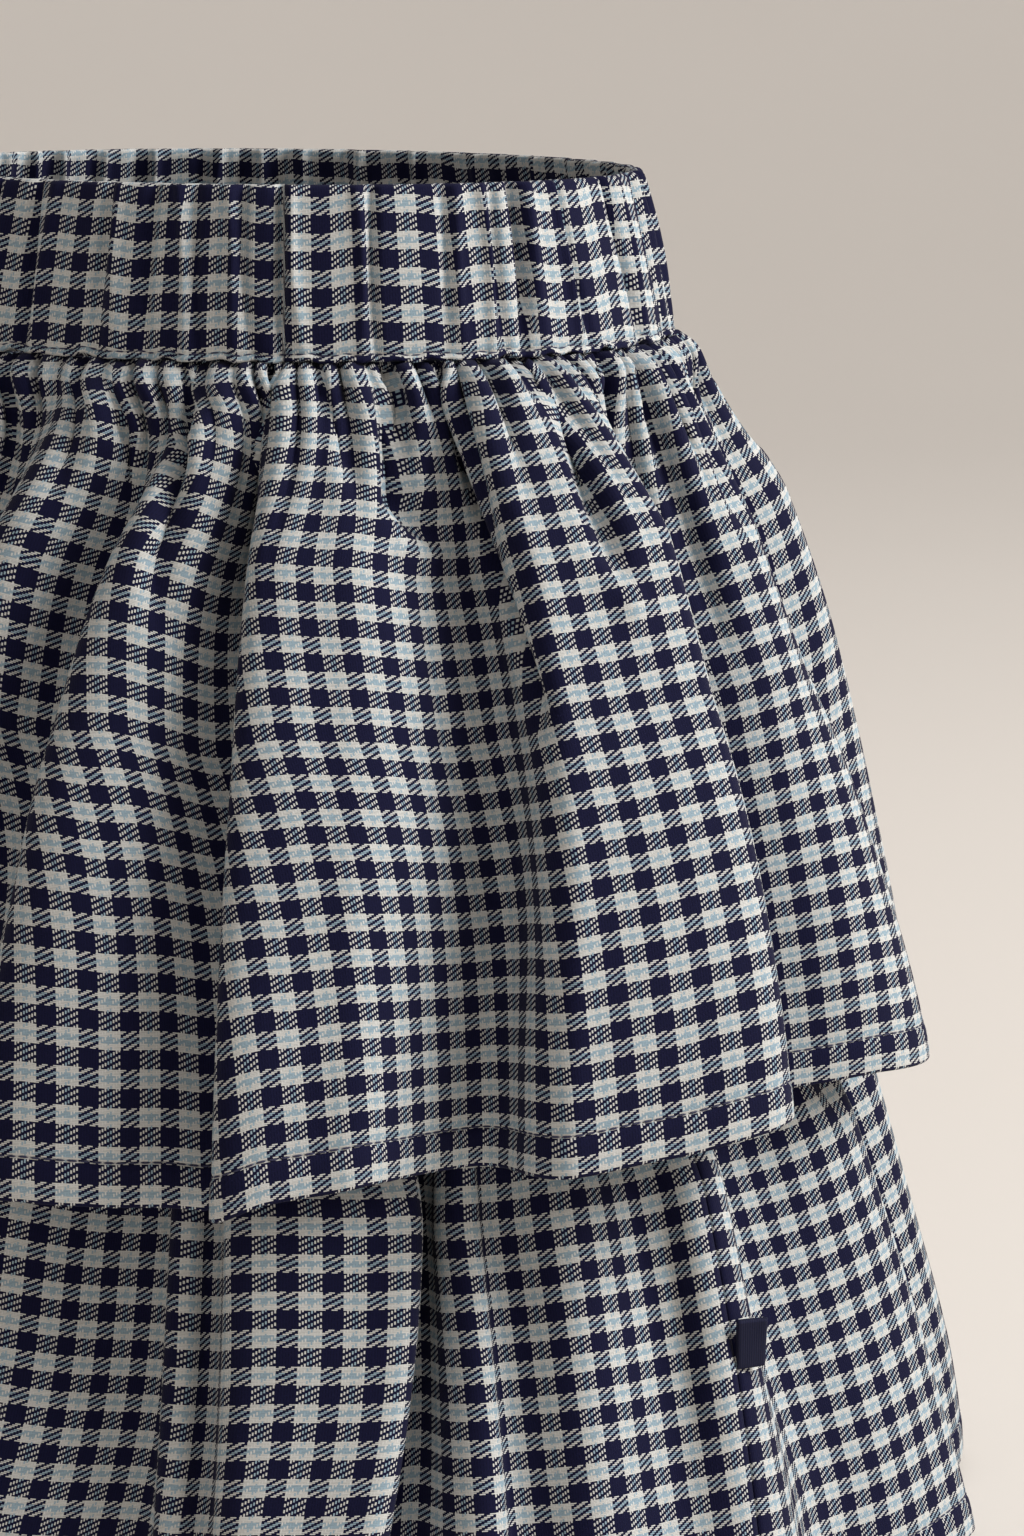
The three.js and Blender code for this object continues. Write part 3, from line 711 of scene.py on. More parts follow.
# %% The waistband's creases: angle at the top, at the bottom, depth, half-width in mm
BAND_CREASES = [
    [20.5, 21.5, -1.4, 1.5], [22.6, 23.6, 0.8, 1.5],
    [27.3, 28.6, -1.3, 1.5], [31.4, 33.8, 1.2, 1.1], [33.4, 35.6, -1.1, 1.2], [38.3, 40.5, 1.2, 1.2],
    [40.3, 42.5, -1.4, 1.3], [45.3, 46.7, -2.5, 1.3], [47.3, 48.6, 1.0, 1.5], [56.6, 57.0, 0.9, 1.3],
    [58.5, 58.9, -1.6, 1.2], [69.5, 68.6, -1.1, 1.5], [71.6, 71.0, 0.8, 1.5], [75.7, 75.7, 1.1, 1.2],
    [77.6, 77.5, -1.2, 1.3], [81.8, 80.9, -2.7, 1.6], [84.6, 84.0, 0.9, 1.8], [89.3, 91.8, 0.9, 1.1],
    [90.8, 93.3, -1.3, 1.1], [104.5, 106.0, -2.8, 1.7], [107.4, 109.0, 0.9, 1.9],
]
chance = np.random.default_rng(31)
angle = 116.0
while angle < 374:
    lean = chance.uniform(-1.6, 1.6)
    depth = -chance.choice([1.2, 1.5, 2.0, 2.6])
    BAND_CREASES.append([angle, angle + lean, depth, chance.uniform(1.2, 1.7)])
    BAND_CREASES.append([angle + 2.6, angle + lean + 2.5, chance.uniform(0.7, 1.1), chance.uniform(1.2, 1.9)])
    angle += chance.uniform(5.5, 12.5)
print("waistband creases:", len(BAND_CREASES))

# %% The waistband's grid, over its rounded top and down to the seam
BAND_TAPER = 0.22  # how much narrower each half-width grows for a millimetre of height
BAND_COLUMNS = 720
BAND_TOP = BAND_HEIGHT / 2
BAND_CLOTH = 725
RUCHE_DEPTH = 1.45  # the creases' depth in the mesh, for a charted depth of one
INNER_RUCHE = 0.7
EDGE_STITCH = 1.8  # the height of the stitches above the seam


def band_rows():
    """Height, and how far out of the band's middle, from the outer seam edge over the top to the inner."""
    half = BAND_WALL / 2 - 0.35
    rows = [(-BAND_TOP + 0.05, half * 0.35), (-BAND_TOP + 0.12, half * 0.8)]
    rows += [(-BAND_TOP + up, half + 0.25 * (up < 1.3)) for up in (0.5, 1.0, 1.5)]
    rows += [(-BAND_TOP + EDGE_STITCH, half - 0.45), (-BAND_TOP + 2.2, half - 0.1), (-BAND_TOP + 2.8, half)]
    for z in np.linspace(-16.5, 17.6, 24):
        rows.append((z, half + 0.5 * math.sin(math.pi * (z + BAND_TOP) / BAND_HEIGHT)))
    for t in np.radians([20, 40, 60, 78, 90]):
        rows.append((BAND_TOP - 1.6 + 1.45 * math.sin(t), half * math.cos(t)))
    return np.array(rows + [(z, -out) for z, out in rows[-2::-1]])


def ruche(around, half, share):
    """How far the band's cloth goes in and out round one row, a share of the way down from the top."""
    field = np.zeros(len(around))
    strength = 0.6 + 0.55 * math.sin(math.pi * min(1, share + 0.12)) - 0.25 * max(0, share - 0.9) * 10
    for top_angle, low_angle, depth, width in BAND_CREASES:
        place = top_angle + (low_angle - top_angle) * share + 0.5 * math.sin(4 * share + top_angle)
        gap = (around - place + 180) % 360 - 180
        gap_mm = np.radians(gap) * math.hypot(*half) / math.sqrt(2)
        field += RUCHE_DEPTH * depth * strength * np.exp(-((gap_mm / width) ** 2))
    return field


band_profile = band_rows()
around = np.linspace(0, 360, BAND_COLUMNS + 1)
band_grid = np.zeros((len(band_profile), BAND_COLUMNS + 1, 3))
# the outer edge is sewn down unevenly, so it waves up and down at the seam
pucker = 0.4 * np.sin(np.radians(around) * 61) + 0.35 * np.sin(np.radians(around) * 94 + 1)
pucker += 0.3 * np.sin(np.radians(around) * 37 + 2)
for r, (z, out) in enumerate(band_profile):
    half = WAIST - BAND_TAPER * (z + BAND_TOP)
    bulge = ruche(around, half, (BAND_TOP - z) / BAND_HEIGHT)
    if out < 0:
        bulge *= INNER_RUCHE
    x, y = ring_point(half, around, out + bulge)
    near_seam = math.exp(-(((z + BAND_TOP) / 3.0) ** 2)) if out > 0 else 0
    band_grid[r] = np.stack([x, y, z + np.maximum(pucker * near_seam, -0.2)], 1)
band_steps = np.hypot(*np.diff(band_grid[20, :, :2], axis=0).T)  # round the middle of the outer face
band_across = np.concatenate([[0], np.cumsum(band_steps)]) * BAND_CLOTH / band_steps.sum()
print("waistband, cloth on the line, mm:", round(float(band_steps.sum())), "of", BAND_CLOTH)

# %% [markdown]
# Each piece becomes a closed mesh with both faces of its cloth. Solidify could thicken a single sheet,
# but the turned hem is thicker than the rest and has a rounded fold, so the wall is built as a loop of
# rows: down the outer face, round the hem, up the inner face. The cloth's own measures go into a UV map,
# in millimetres.

# %% From rows of points to a closed mesh
skirt_pieces = bpy.data.collections.new("skirt")
bpy.context.scene.collection.children.link(skirt_pieces)


def loop_mesh(name, rows, measures, closed):
    """rows run round the wall's own section, and measures hold each point's place on the cloth."""
    points = rows[:, :-1] if closed else rows
    count, columns = points.shape[:2]
    i, j = np.meshgrid(np.arange(count), np.arange(rows.shape[1] - 1), indexing="ij")
    corners = [(i, j), ((i + 1), j), ((i + 1), j + 1), (i, j + 1)]
    faces = np.stack([(a % count) * columns + (b % columns) for a, b in corners], -1).reshape(-1, 4)
    uv = np.stack([measures[np.minimum(a, measures.shape[0] - 1), b] for a, b in corners], 2).reshape(-1, 2)
    faces = faces.tolist()
    ends = []
    if not closed:
        half = count // 2
        last = columns - 1
        for k in range(half - 2):
            ring = [k, k + 1, count - 2 - k, count - 1 - k]
            ends.append(([a * columns for a in reversed(ring)], [(a, 0) for a in reversed(ring)]))
            ends.append(([a * columns + last for a in ring], [(a, last) for a in ring]))
        ring = list(range(half - 2, count - half + 2))
        ends.append(([a * columns for a in reversed(ring)], [(a, 0) for a in reversed(ring)]))
        ends.append(([a * columns + last for a in ring], [(a, last) for a in ring]))
    extra = [measures[a, b] for _, places in ends for a, b in places]
    faces += [face for face, _ in ends]
    mesh = bpy.data.meshes.new(name)
    mesh.from_pydata((points.reshape(-1, 3) * MM).tolist(), [], faces)
    layer = mesh.uv_layers.new(name="cloth")
    values = np.concatenate([uv, np.array(extra).reshape(-1, 2)]) if extra else uv
    layer.data.foreach_set("uv", values.astype(np.float32).ravel())
    mesh.polygons.foreach_set("use_smooth", [True] * len(mesh.polygons))
    mesh.update()
    piece = bpy.data.objects.new(name, mesh)
    skirt_pieces.objects.link(piece)
    print(name, "faces:", len(mesh.polygons))
    return piece


# %% [markdown]
# A tier is two panels that are sewn together at the wearer's sides. Cutting one ring in two with a
# boolean would spoil its rows. Each panel takes its own columns of the grid instead, and its side edges
# roll in a little, as cloth does at a seam.

# %% A panel's wall from its grid
HEM_EXTRA = 1.0  # the turned hem is this much thicker, on its inner face
SEAM_DIPS = (0.55, 0.3, 0.1)  # how far the cloth rolls in at a side seam, and in the next two columns


def panel_mesh(name, grid, out, across, downs, length, wall, hemmed):
    grid = grid.copy()
    for end, inside in ((0, 1), (-1, -2)):
        along = grid[:, inside] - grid[:, end]
        grid[:, end] += along / np.linalg.norm(along, axis=1, keepdims=True) * PANEL_GAP / 2
        for step, dip in enumerate(SEAM_DIPS):
            place = step if end == 0 else end - step
            grid[:, place] -= out[:, place] * dip
    outer = grid + out * wall / 2
    folded = np.clip((downs - (length - HEM_DEPTH)) / 0.8, 0, 1)[:, None, None] * (HEM_EXTRA if hemmed else 0)
    inner = grid - out * (wall / 2 + folded)
    middle = (outer[-1] + inner[-1]) / 2
    half = np.linalg.norm(outer[-1] - inner[-1], axis=1, keepdims=True) / 2
    down_way = grid[-1] - grid[-2]
    down_way /= np.linalg.norm(down_way, axis=1, keepdims=True)
    turn = np.radians([30, 60, 90, 120, 150]) if hemmed else np.radians([60, 120])
    reach = 0.9 if hemmed else 0.3
    fold = [middle + half * (out[-1] * math.cos(t) + down_way * math.sin(t) * reach) for t in turn]
    rows = np.concatenate([outer, np.array(fold), inner[::-1]])
    v_outer = np.repeat(downs[:, None], len(across), 1)
    v_fold = np.repeat((length + np.degrees(turn) / 180 * 2)[:, None], len(across), 1)
    v = np.concatenate([v_outer, v_fold, v_outer[::-1]])
    u = np.repeat(across[None], len(v), 0)
    return loop_mesh(name, rows, np.stack([u, v], -1), False)


def two_panels(name, grid, across, downs, length, wall, hemmed):
    """The back panel runs from the wearer's left seam to the right, and the front panel on to the left."""
    out = outward(grid)
    half = (len(across) - 1) // 2
    panels = []
    for side, part in (("front", slice(half, None)), ("back", slice(None, half + 1))):
        panels.append(panel_mesh(
            name + "_" + side, grid[:, part], out[:, part], across[part], downs, length, wall, hemmed))
    return panels


upper_front, upper_back = two_panels(
    "upper_ruffle", upper_cloth, upper_across, upper_downs, UPPER["length"], CLOTH_WALL, True)
lower_front, lower_back = two_panels(
    "lower_ruffle", lower_cloth, lower_across, lower_downs, LOWER["length"], CLOTH_WALL, True)
base_panel_front, base_panel_back = two_panels(
    "plain_base", base_grid, base_across, base_downs, BASE_LENGTH, CLOTH_WALL - 0.1, False)

# %% [markdown]
# The waistband closes on itself, so its rows are full rings. Its map could be unwrapped by Blender, but
# the check has to step at one deep crease and waver with the ruching, so its measures are written down
# here too.

# %% The waistband's mesh
FIRST_ROW = 4.2  # where the check starts at the seam
seam_measure = np.cumsum(np.concatenate([[0], np.hypot(*np.diff(band_profile, axis=0).T)]))
# at the deep crease by 46 degrees the check steps by most of a repeat, and the rest slips in slowly
# behind
lift = np.where(around > 46, 6.4, 0) + np.interp(around, [120, 340], [0, 2.0])
lift = lift + 0.5 * np.sin(np.radians(around) * 17) + 0.3 * np.sin(np.radians(around) * 41 + 2)
band_measures = np.stack([
    np.repeat(band_across[None], len(band_profile), 0),
    FIRST_ROW - seam_measure[:, None] - lift[None],
], -1)
# the band's rows run up its outer face, so they are turned round to run down it
waistband = loop_mesh("ruched_waistband", band_grid[::-1], band_measures[::-1], True)

# %% [markdown]
# A folded ribbon is sewn into the side seam of the lower tier, near its hem. It is left blank. Two small
# sheets would do, but a ribbon folded end to end has a soft bend at its outer edge, so it is drawn as a
# bent strip.

# %% The folded label
LABEL = dict(width=7.0, height=12.0, ply=0.45, gap=0.25, z=-249.5)
RIBBON_LENGTH = 15  # the ribbon's own length, end to end before it is folded


def at_height(points, values, z):
    return np.array([float(np.interp(-z, -points[:, 2], values[:, k])) for k in range(3)])


def unit(vector):
    return vector / np.linalg.norm(vector)


seam_line = lower_cloth[:, 0]
# level with the floor: the way out of the cloth, the slanting way along the ribbon, and the way across it
label_out = unit(at_height(seam_line, outward(lower_cloth)[:, 0], LABEL["z"]) * [1, 1, 0])
label_way = unit(np.array([-label_out[1], label_out[0], 0.0]) * 0.93 + label_out * 0.36)
label_side = np.cross(label_way, [0, 0, 1.0])
label_base = at_height(seam_line, seam_line, LABEL["z"])
label_base += label_out * (CLOTH_WALL / 2 + LABEL["gap"] + LABEL["ply"] * 1.3)

bend = LABEL["ply"] * 0.75
strip = [(s, -bend) for s in np.linspace(0, LABEL["width"], 9)]
for t in np.radians([30, 60, 90, 120, 150]):
    strip.append((LABEL["width"] + bend * math.sin(t), -bend * math.cos(t)))
strip += [(s, bend) for s in np.linspace(LABEL["width"], 0, 9)]
strip = np.array(strip)
ribbon_ways = np.gradient(strip, axis=0)
ribbon_ways /= np.linalg.norm(ribbon_ways, axis=1, keepdims=True)
ribbon_out = np.stack([ribbon_ways[:, 1], -ribbon_ways[:, 0]], 1)
label_rows, label_measure = [], []
for face in (1, -1):
    flat = strip + ribbon_out * face * LABEL["ply"] / 2
    for z in np.linspace(LABEL["height"] / 2, -LABEL["height"] / 2, 13)[::face]:
        curl = 0.5 * (flat[:, :1] / LABEL["width"]) ** 2 * (z / (LABEL["height"] / 2))
        level = label_base + flat[:, :1] * label_way + (flat[:, 1:2] + curl) * label_side
        label_rows.append(level + [0, 0, z])
        label_measure.append(np.stack([np.linspace(0, RIBBON_LENGTH, len(strip)), np.full(len(strip), z)], 1))
label = loop_mesh("folded_label", np.array(label_rows), np.array(label_measure), False)

# %% [markdown]
# A material in Blender is a tree of nodes.

# %% Sums in a material
class Amount:
    """A number that varies over a surface: a socket of a material's tree."""

    def __init__(self, recipe, socket):
        self.recipe, self.socket = recipe, socket

    def maths(self, operation, *others):
        return self.recipe.node("ShaderNodeMath", {"operation": operation}, dict(enumerate((self,) + others)))

    def __add__(self, other):
        return self.maths("ADD", other)

    def __sub__(self, other):
        return self.maths("SUBTRACT", other)

    def __rsub__(self, other):
        return self.recipe.node("ShaderNodeMath", {"operation": "SUBTRACT"}, {0: other, 1: self})

    def __mul__(self, other):
        return self.maths("MULTIPLY", other)

    def __truediv__(self, other):
        return self.maths("DIVIDE", other)

    def __mod__(self, other):
        return self.maths("FLOORED_MODULO", other)

    def __lt__(self, other):
        return self.maths("LESS_THAN", other)

    def __gt__(self, other):
        return self.maths("GREATER_THAN", other)

    __radd__ = __add__
    __rmul__ = __mul__


class Recipe:
    """A material's node tree, with one way to add any node."""

    def __init__(self, name):
        self.material = bpy.data.materials.new(name)
        self.material.use_nodes = True
        self.tree = self.material.node_tree
        self.surface = self.tree.nodes["Principled BSDF"]

    def node(self, kind, settings=None, inputs=None, output=0):
        made = self.tree.nodes.new(kind)
        for key, value in (settings or {}).items():
            setattr(made, key, value)
        for key, value in (inputs or {}).items():
            self.feed(made.inputs[key], value)
        return Amount(self, made.outputs[output])

    def feed(self, socket, value):
        if isinstance(value, Amount):
            self.tree.links.new(value.socket, socket)
        else:
            socket.default_value = value

    def mix(self, share, first, second):
        """A mix of two colours. Sockets 6 and 7 are the colour ones, and the result is output 2."""
        return self.node("ShaderNodeMix", {"data_type": "RGBA"}, {0: share, 6: first, 7: second}, 2)

    def measures(self):
        """The piece's own map, in millimetres: across the cloth, and down it."""
        split = self.node("ShaderNodeSeparateXYZ", {}, {0: self.node("ShaderNodeUVMap", {"uv_map": "cloth"})})
        return split, Amount(self, split.socket.node.outputs[1])

    def shaded(self, colour, light):
        """A colour times a brightness, which paints shade into it."""
        shade = self.node("ShaderNodeCombineXYZ", {}, {0: light, 1: light, 2: light})
        return self.node("ShaderNodeVectorMath", {"operation": "MULTIPLY"}, {0: colour, 1: shade})

    def noise(self, scale, detail):
        """Noise that is fixed to the piece."""
        place = self.node("ShaderNodeTexCoord", {}, {}, 3)
        return self.node("ShaderNodeTexNoise", {}, {"Vector": place, "Scale": scale, "Detail": detail})

    def bump(self, height, strength, distance):
        return self.node("ShaderNodeBump", {}, {"Height": height, "Strength": strength, "Distance": distance})

    def set(self, **values):
        for key, value in values.items():
            self.feed(self.surface.inputs[key.replace("_", " ")], value)


# %% [markdown]
# The cloth is a twill: each thread goes over two and under two, one step further along in each row, which
# gives the fine slanting lines. Threads in navy, off-white and a little pale blue cross, and their order
# makes the check. An image would blur close up. Here the shader counts threads: the whole part of a
# measure is the thread's number, the number's place in the repeat gives its colour, and the two counts
# together say which thread lies on top.

# %% The check, thread by thread
WARP_PITCH = 0.607  # threads that run down, in millimetres
WEFT_PITCH = 0.35  # threads that run across
NAVY = (0.0058, 0.0064, 0.032, 1)
OFF_WHITE = (0.62, 0.625, 0.61, 1)
PALE_BLUE = (0.31, 0.42, 0.50, 1)
WARP_REPEAT = 15  # threads in one check: 7 navy, 3 white, 2 blue, 3 white
WEFT_REPEAT = 24  # threads in one check: 12 navy, 4 white, 4 blue, 4 white
TWILL_STEPS = 4.0


def check_cloth(name, phase):
    recipe = Recipe(name)
    across, down = recipe.measures()
    across = across / WARP_PITCH
    upward = phase - down / WEFT_PITCH
    warp, weft = across.maths("FLOOR"), upward.maths("FLOOR")
    in_warp, in_weft = across - warp, upward - weft
    warp_place, weft_place = warp % WARP_REPEAT, weft % WEFT_REPEAT
    warp_light = warp_place > 6.5
    warp_blue = (warp_place > 9.5) * (warp_place < 11.5)
    weft_light = weft_place > 11.5
    weft_blue = (weft_place > 15.5) * (weft_place < 19.5)
    warp_colour = recipe.mix(warp_blue, recipe.mix(warp_light, NAVY, OFF_WHITE), PALE_BLUE)
    weft_colour = recipe.mix(weft_blue, recipe.mix(weft_light, NAVY, OFF_WHITE), PALE_BLUE)
    # the pale threads that run down are thin, and those that run across show between them
    thread_half = 0.5 - warp_light * 0.2
    on_top = (((warp - weft) % TWILL_STEPS) < 1.5) * ((in_warp - 0.5).maths("ABSOLUTE") < thread_half)
    # the navy ones are full, and show between those that run across
    on_top = on_top.maths("MAXIMUM", (1 - warp_light) * ((in_weft - 0.5).maths("ABSOLUTE") > 0.4))
    woven = recipe.mix(on_top, weft_colour, warp_colour)
    # a thread is round: painted shade makes its middle lighter and its sides, where it goes down, darker
    warp_round = 1 - (in_warp * 2 - 1).maths("POWER", 2.0)
    weft_round = 1 - (in_weft * 2 - 1).maths("POWER", 2.0)
    relief_and_painted_shade = on_top * (warp_round - weft_round) + weft_round
    uneven = recipe.node("ShaderNodeTexWhiteNoise", {"noise_dimensions": "2D"}, {
        "Vector": recipe.node("ShaderNodeCombineXYZ", {}, {0: warp * on_top, 1: weft - weft * on_top})})
    hairs, worn = recipe.noise(2600.0, 2.0), recipe.noise(28.0, 3.0)
    # this brightness paints the threads' shade in, with random tone from the thread, hair and wear noises
    light = 0.62 + relief_and_painted_shade * 0.38 + (uneven - 0.5) * 0.10 + (hairs - 0.5) * 0.16 + (worn - 0.5) * 0.06
    bump = recipe.bump(relief_and_painted_shade + hairs * 0.5, 0.35, 0.00012)
    recipe.set(Base_Color=recipe.shaded(woven, light), Roughness=0.9 + (hairs - 0.5) * 0.12, Normal=bump)
    recipe.set(Sheen_Weight=0.03, Sheen_Roughness=0.5, Specular_IOR_Level=0.12)
    return recipe.material


# the phase, in threads, is where the check starts at the piece's upper edge
for name, phase, pieces in (
        ("woven_check", 4.57, (upper_front, upper_back, base_panel_front, base_panel_back)),
        ("woven_check_lower", 6.29, (lower_front, lower_back)), ("woven_check_band", 0.0, (waistband,))):
    cloth = check_cloth(name, phase)
    for piece in pieces:
        piece.data.materials.append(cloth)
print("check repeat in mm:", round(WARP_REPEAT * WARP_PITCH, 2), "by", round(WEFT_REPEAT * WEFT_PITCH, 2))

# %% [markdown]
# The label is a plain navy grosgrain ribbon, with fine ribs across it and a firmer edge. The sewing
# thread is navy too, with the slant of its twist.

# %% Ribbon and thread
RIB_PITCH = 0.45
FINE_PITCH = 0.3
RIBBON_EDGE = 0.7  # how wide its firm edge is


def ribbon_finish():
    recipe = Recipe("navy_ribbon")
    along, up = recipe.measures()
    rib = (along * (2 * math.pi / RIB_PITCH)).maths("SINE") * 0.5 + 0.5
    fine = (up * (2 * math.pi / FINE_PITCH)).maths("SINE") * 0.5 + 0.5
    edge = up.maths("ABSOLUTE") > LABEL["height"] / 2 - RIBBON_EDGE
    # painted shade: the ribs and fine lines are lighter on their crests and darker between; the edge is
    # lighter
    light = 0.75 + rib * 0.2 + fine * 0.08 + edge * 0.25
    colour = recipe.shaded((0.0065, 0.008, 0.032), light)
    bump = recipe.bump(rib + fine * 0.4, 0.4, 0.0001)
    recipe.set(Base_Color=colour, Roughness=0.7 + rib * 0.15, Normal=bump, Specular_IOR_Level=0.25)
    return recipe.material


def thread_finish():
    recipe = Recipe("navy_thread")
    twist = recipe.noise(3500.0, 1.0)
    colour = recipe.mix(twist, (0.008, 0.009, 0.035, 1), (0.03, 0.033, 0.09, 1))
    bump = recipe.bump(twist, 0.4, 0.0001)
    recipe.set(Base_Color=colour, Roughness=0.6 + twist * 0.2, Normal=bump)
    return recipe.material


label.data.materials.append(ribbon_finish())
thread = thread_finish()

# %% [markdown]
# A row of machine stitches is one small shape repeated along a line, which is what Geometry Nodes are
# for. The line is a row of points on the cloth that also keep the direction out of it. The tree measures
# the line off in stitch lengths, puts a short rounded stitch at each point, turns it along the line and
# lays it flat on the cloth.

# %% A tree that sews
def sewing_tree():
    tree = bpy.data.node_groups.new("machine_stitches", "GeometryNodeTree")
    face = tree.interface
    face.new_socket("Geometry", in_out="INPUT", socket_type="NodeSocketGeometry")
    for name, default in (("Stitch Pitch", 0.0028), ("Stitch Length", 0.0022), ("Thread Radius", 0.00022)):
        face.new_socket(name, in_out="INPUT", socket_type="NodeSocketFloat").default_value = default
    face.new_socket("Thread", in_out="INPUT", socket_type="NodeSocketMaterial")
    face.new_socket("Geometry", in_out="OUTPUT", socket_type="NodeSocketGeometry")

    def add(kind, settings=None, inputs=None):
        made = tree.nodes.new(kind)
        for key, value in (settings or {}).items():
            setattr(made, key, value)
        for key, value in (inputs or {}).items():
            if isinstance(value, bpy.types.NodeSocket):
                tree.links.new(value, made.inputs[key])
            else:
                made.inputs[key].default_value = value
        return made

    given = add("NodeGroupInput")
    line = add("GeometryNodeMeshToCurve", {}, {"Mesh": given.outputs["Geometry"]})
    spaced = add("GeometryNodeResampleCurve", {"mode": "LENGTH"}, {
        "Curve": line.outputs[0], "Length": given.outputs["Stitch Pitch"]})
    seed = add("GeometryNodeMeshUVSphere", {}, {"Segments": 6, "Rings": 5, "Radius": 1.0})
    half_long = add("ShaderNodeMath", {"operation": "MULTIPLY"}, {0: given.outputs["Stitch Length"], 1: 0.5})
    size = add("ShaderNodeCombineXYZ", {}, {
        0: half_long.outputs[0], 1: given.outputs["Thread Radius"], 2: given.outputs["Thread Radius"]})
    stitch = add("GeometryNodeTransform", {}, {"Geometry": seed.outputs[0], "Scale": size.outputs[0]})
    tangent = add("GeometryNodeInputTangent")
    facing = add("GeometryNodeInputNamedAttribute", {"data_type": "FLOAT_VECTOR"}, {"Name": "facing"})
    laid = add("FunctionNodeAlignRotationToVector", {"axis": "X"}, {"Vector": tangent.outputs[0]})
    flat = add("FunctionNodeAlignRotationToVector", {"axis": "Z", "pivot_axis": "X"}, {
        "Rotation": laid.outputs[0], "Vector": facing.outputs[0]})
    chance = add("FunctionNodeRandomValue", {"data_type": "FLOAT"}, {"Min": 0.88, "Max": 1.08, "Seed": 5})
    sewn = add("GeometryNodeInstanceOnPoints", {}, {
        "Points": spaced.outputs[0], "Instance": stitch.outputs[0], "Rotation": flat.outputs[0],
        "Scale": chance.outputs[1]})
    real = add("GeometryNodeRealizeInstances", {}, {"Geometry": sewn.outputs[0]})
    finished = add("GeometryNodeSetMaterial", {}, {
        "Geometry": real.outputs[0], "Material": given.outputs["Thread"]})
    result = add("NodeGroupOutput")
    tree.links.new(finished.outputs[0], result.inputs[0])
    return tree


stitches_tree = sewing_tree()
print("nodes in the sewing tree:", len(stitches_tree.nodes))

# %% [markdown]
# Three rows of stitches show: one above each tier's hem, and one along the waistband's lower edge. Curves
# could be drawn for them by hand. Each line is taken from a row of the cloth's own grid instead, so it
# follows every fold.

# %% Lines of stitches
STITCH_SIZES = {"Stitch Pitch": 0.0028, "Stitch Length": 0.0026, "Thread Radius": 0.00026}


def sew(name, points, facing):
    """A row of stitches along points in millimetres, on cloth that faces the given way at each."""
    mesh = bpy.data.meshes.new(name)
    mesh.from_pydata((points * MM).tolist(), [(k, k + 1) for k in range(len(points) - 1)], [])
    kept = mesh.attributes.new("facing", "FLOAT_VECTOR", "POINT")
    kept.data.foreach_set("vector", facing.astype(np.float32).ravel())
    row = bpy.data.objects.new(name + "_line", mesh)
    skirt_pieces.objects.link(row)
    sewing = row.modifiers.new("sewing", "NODES")
    sewing.node_group = stitches_tree
    items = stitches_tree.interface.items_tree
    sockets = {item.name: item.identifier for item in items if item.in_out == "INPUT"}
    for socket, value in {**STITCH_SIZES, "Thread": thread}.items():
        sewing[sockets[socket]] = value
    bpy.context.view_layer.update()
    evaluated = row.evaluated_get(bpy.context.evaluated_depsgraph_get())
    plain = bpy.data.meshes.new_from_object(evaluated)
    plain.name = name
    for polygon in plain.polygons:
        polygon.use_smooth = True
    row.modifiers.clear()
    bpy.data.objects.remove(row)
    piece = bpy.data.objects.new(name, plain)
    skirt_pieces.objects.link(piece)
    print(name, "faces:", len(plain.polygons))
    return piece


def hem_line(grid, downs, length):
    row = int(np.argmin(np.abs(downs - (length - HEM_DEPTH))))
    out = outward(grid)[row]
    return grid[row] + out * (CLOTH_WALL / 2 + 0.14), out


upper_hem_stitches = sew("upper_hem_stitches", *hem_line(upper_cloth, upper_downs, UPPER["length"]))
lower_hem_stitches = sew("lower_hem_stitches", *hem_line(lower_cloth, lower_downs, LOWER["length"]))
edge_row = int(np.argmin(np.abs(band_profile[:12, 0] - (-BAND_TOP + EDGE_STITCH))))
edge_out = outward(band_grid[::-1])[::-1][edge_row]
band_stitches = sew("waistband_stitches", band_grid[edge_row] + edge_out * 0.05, edge_out)

# %% [markdown]
# Each new piece rides on the one body and takes the place of its plain node, which is hidden. The rows of
# stitches ride on the body too.

# %% What each piece stands for
replaced = {
    waistband: "waistband", upper_front: "upper_tier_front", upper_back: "upper_tier_back",
    base_panel_front: "base_front", base_panel_back: "base_back",
    lower_front: "lower_tier_front", lower_back: "lower_tier_back", label: "side_label",
}
for piece, node_name in replaced.items():
    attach(piece, "root")
    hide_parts(node_name)
for piece in (upper_hem_stitches, lower_hem_stitches, band_stitches):
    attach(piece, "root")

# %% [markdown]
# The set is a pale floor that curves up all round into a wall, so that every view has the same quiet
# ground. One wide soft light stands to the camera's right and above, as a window would. It comes across
# the folds rather than onto them, so that each ridge has a lit and a shaded side. A weaker light washes
# the wall, and the pale world fills the shadows.

# %% The floor and wall
FLAT, CURVE = 2.4, 1.6  # the floor's flat part and its curve up to the wall, in metres
FLOOR_GAP = 0.004


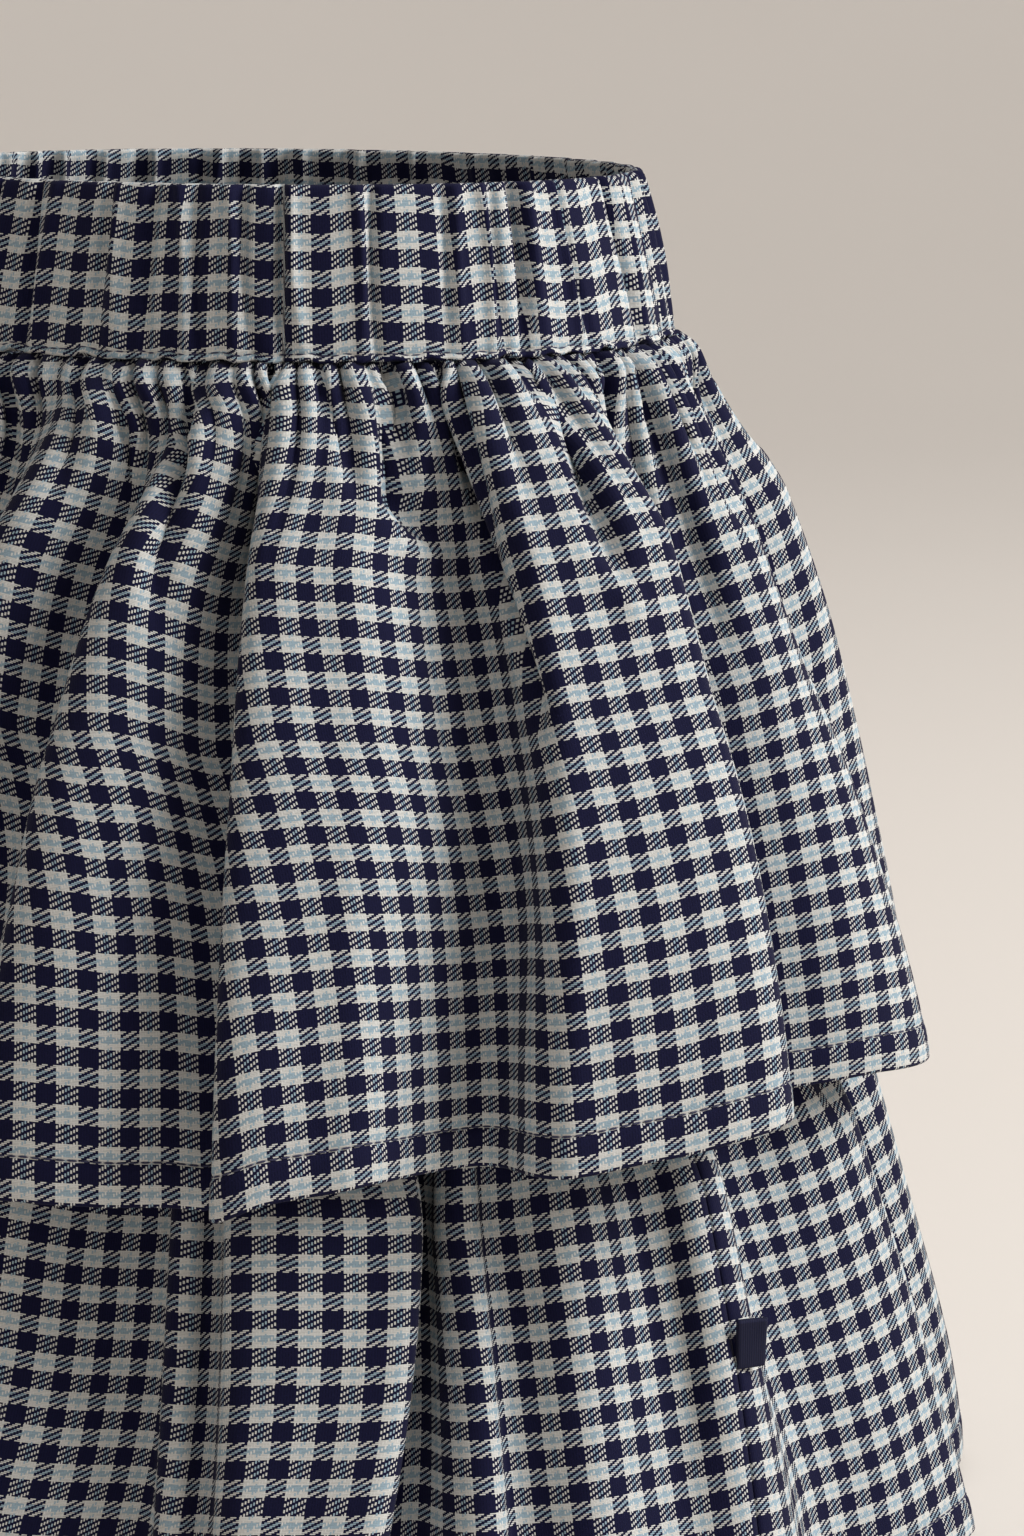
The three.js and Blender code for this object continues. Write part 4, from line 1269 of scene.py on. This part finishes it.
def studio_floor():
    profile = [(0.0, 0.0), (1.2, 0.0), (FLAT, 0.0)]
    turned = np.radians(np.arange(7.5, 91, 7.5))
    profile += [(FLAT + CURVE * math.sin(t), CURVE - CURVE * math.cos(t)) for t in turned]
    profile += [(4.0, 2.6), (4.0, 3.6)]
    floor_z = cad_box[0][2] - FLOOR_GAP
    points, faces, turns = [(0.0, 0.0, floor_z)], [], 72
    for radius, up in profile[1:]:
        for k in range(turns):
            t = 2 * math.pi * k / turns
            points.append((radius * math.cos(t), radius * math.sin(t), floor_z + up))
    for k in range(turns):
        faces.append((0, 1 + k, 1 + (k + 1) % turns))
    for ring in range(len(profile) - 2):
        for k in range(turns):
            a, b = 1 + ring * turns + k, 1 + ring * turns + (k + 1) % turns
            faces.append((a, a + turns, b + turns, b))
    mesh = bpy.data.meshes.new("studio_floor")
    mesh.from_pydata(points, [], faces)
    mesh.polygons.foreach_set("use_smooth", [True] * len(mesh.polygons))
    floor = bpy.data.objects.new("studio_floor", mesh)
    bpy.context.scene.collection.objects.link(floor)
    recipe = Recipe("pale_floor")
    paper = recipe.mix(recipe.noise(1.5, 2.0), (0.61, 0.57, 0.53, 1), (0.64, 0.6, 0.56, 1))
    recipe.set(Base_Color=paper, Roughness=0.95, Emission_Color=paper, Emission_Strength=0.25)
    mesh.materials.append(recipe.material)
    return floor


print("set:", studio_floor().name)


# %% The lights
def soft_light(name, place, size, power, colour, aim=Vector((0, 0, -0.15))):
    data = bpy.data.lights.new(name, "AREA")
    data.shape = "RECTANGLE"
    data.size, data.size_y = size
    data.energy = power
    data.color = colour
    lamp = bpy.data.objects.new(name, data)
    bpy.context.scene.collection.objects.link(lamp)
    lamp.location = place
    lamp.rotation_mode = "QUATERNION"
    lamp.rotation_quaternion = (aim - lamp.location).to_track_quat("-Z", "Y")
    return lamp


soft_light("window", away * 0.5 + camera_right * 2.0 + Vector((0, 0, 1.4)), (1.3, 1.5), 77,
           (1.0, 0.985, 0.96))
soft_light("wall_wash", away * -0.3 + Vector((0, 0, 2.8)), (2.0, 2.0), 14, (1.0, 0.98, 0.97),
           away * -3.8 + Vector((0, 0, -0.3)))
bpy.context.scene.view_settings.view_transform = "Standard"
world = bpy.data.worlds.new("studio")
bpy.context.scene.world = world
world.use_nodes = True
world.node_tree.nodes["Background"].inputs[0].default_value = (0.93, 0.94, 0.96, 1)
world.node_tree.nodes["Background"].inputs[1].default_value = 0.15
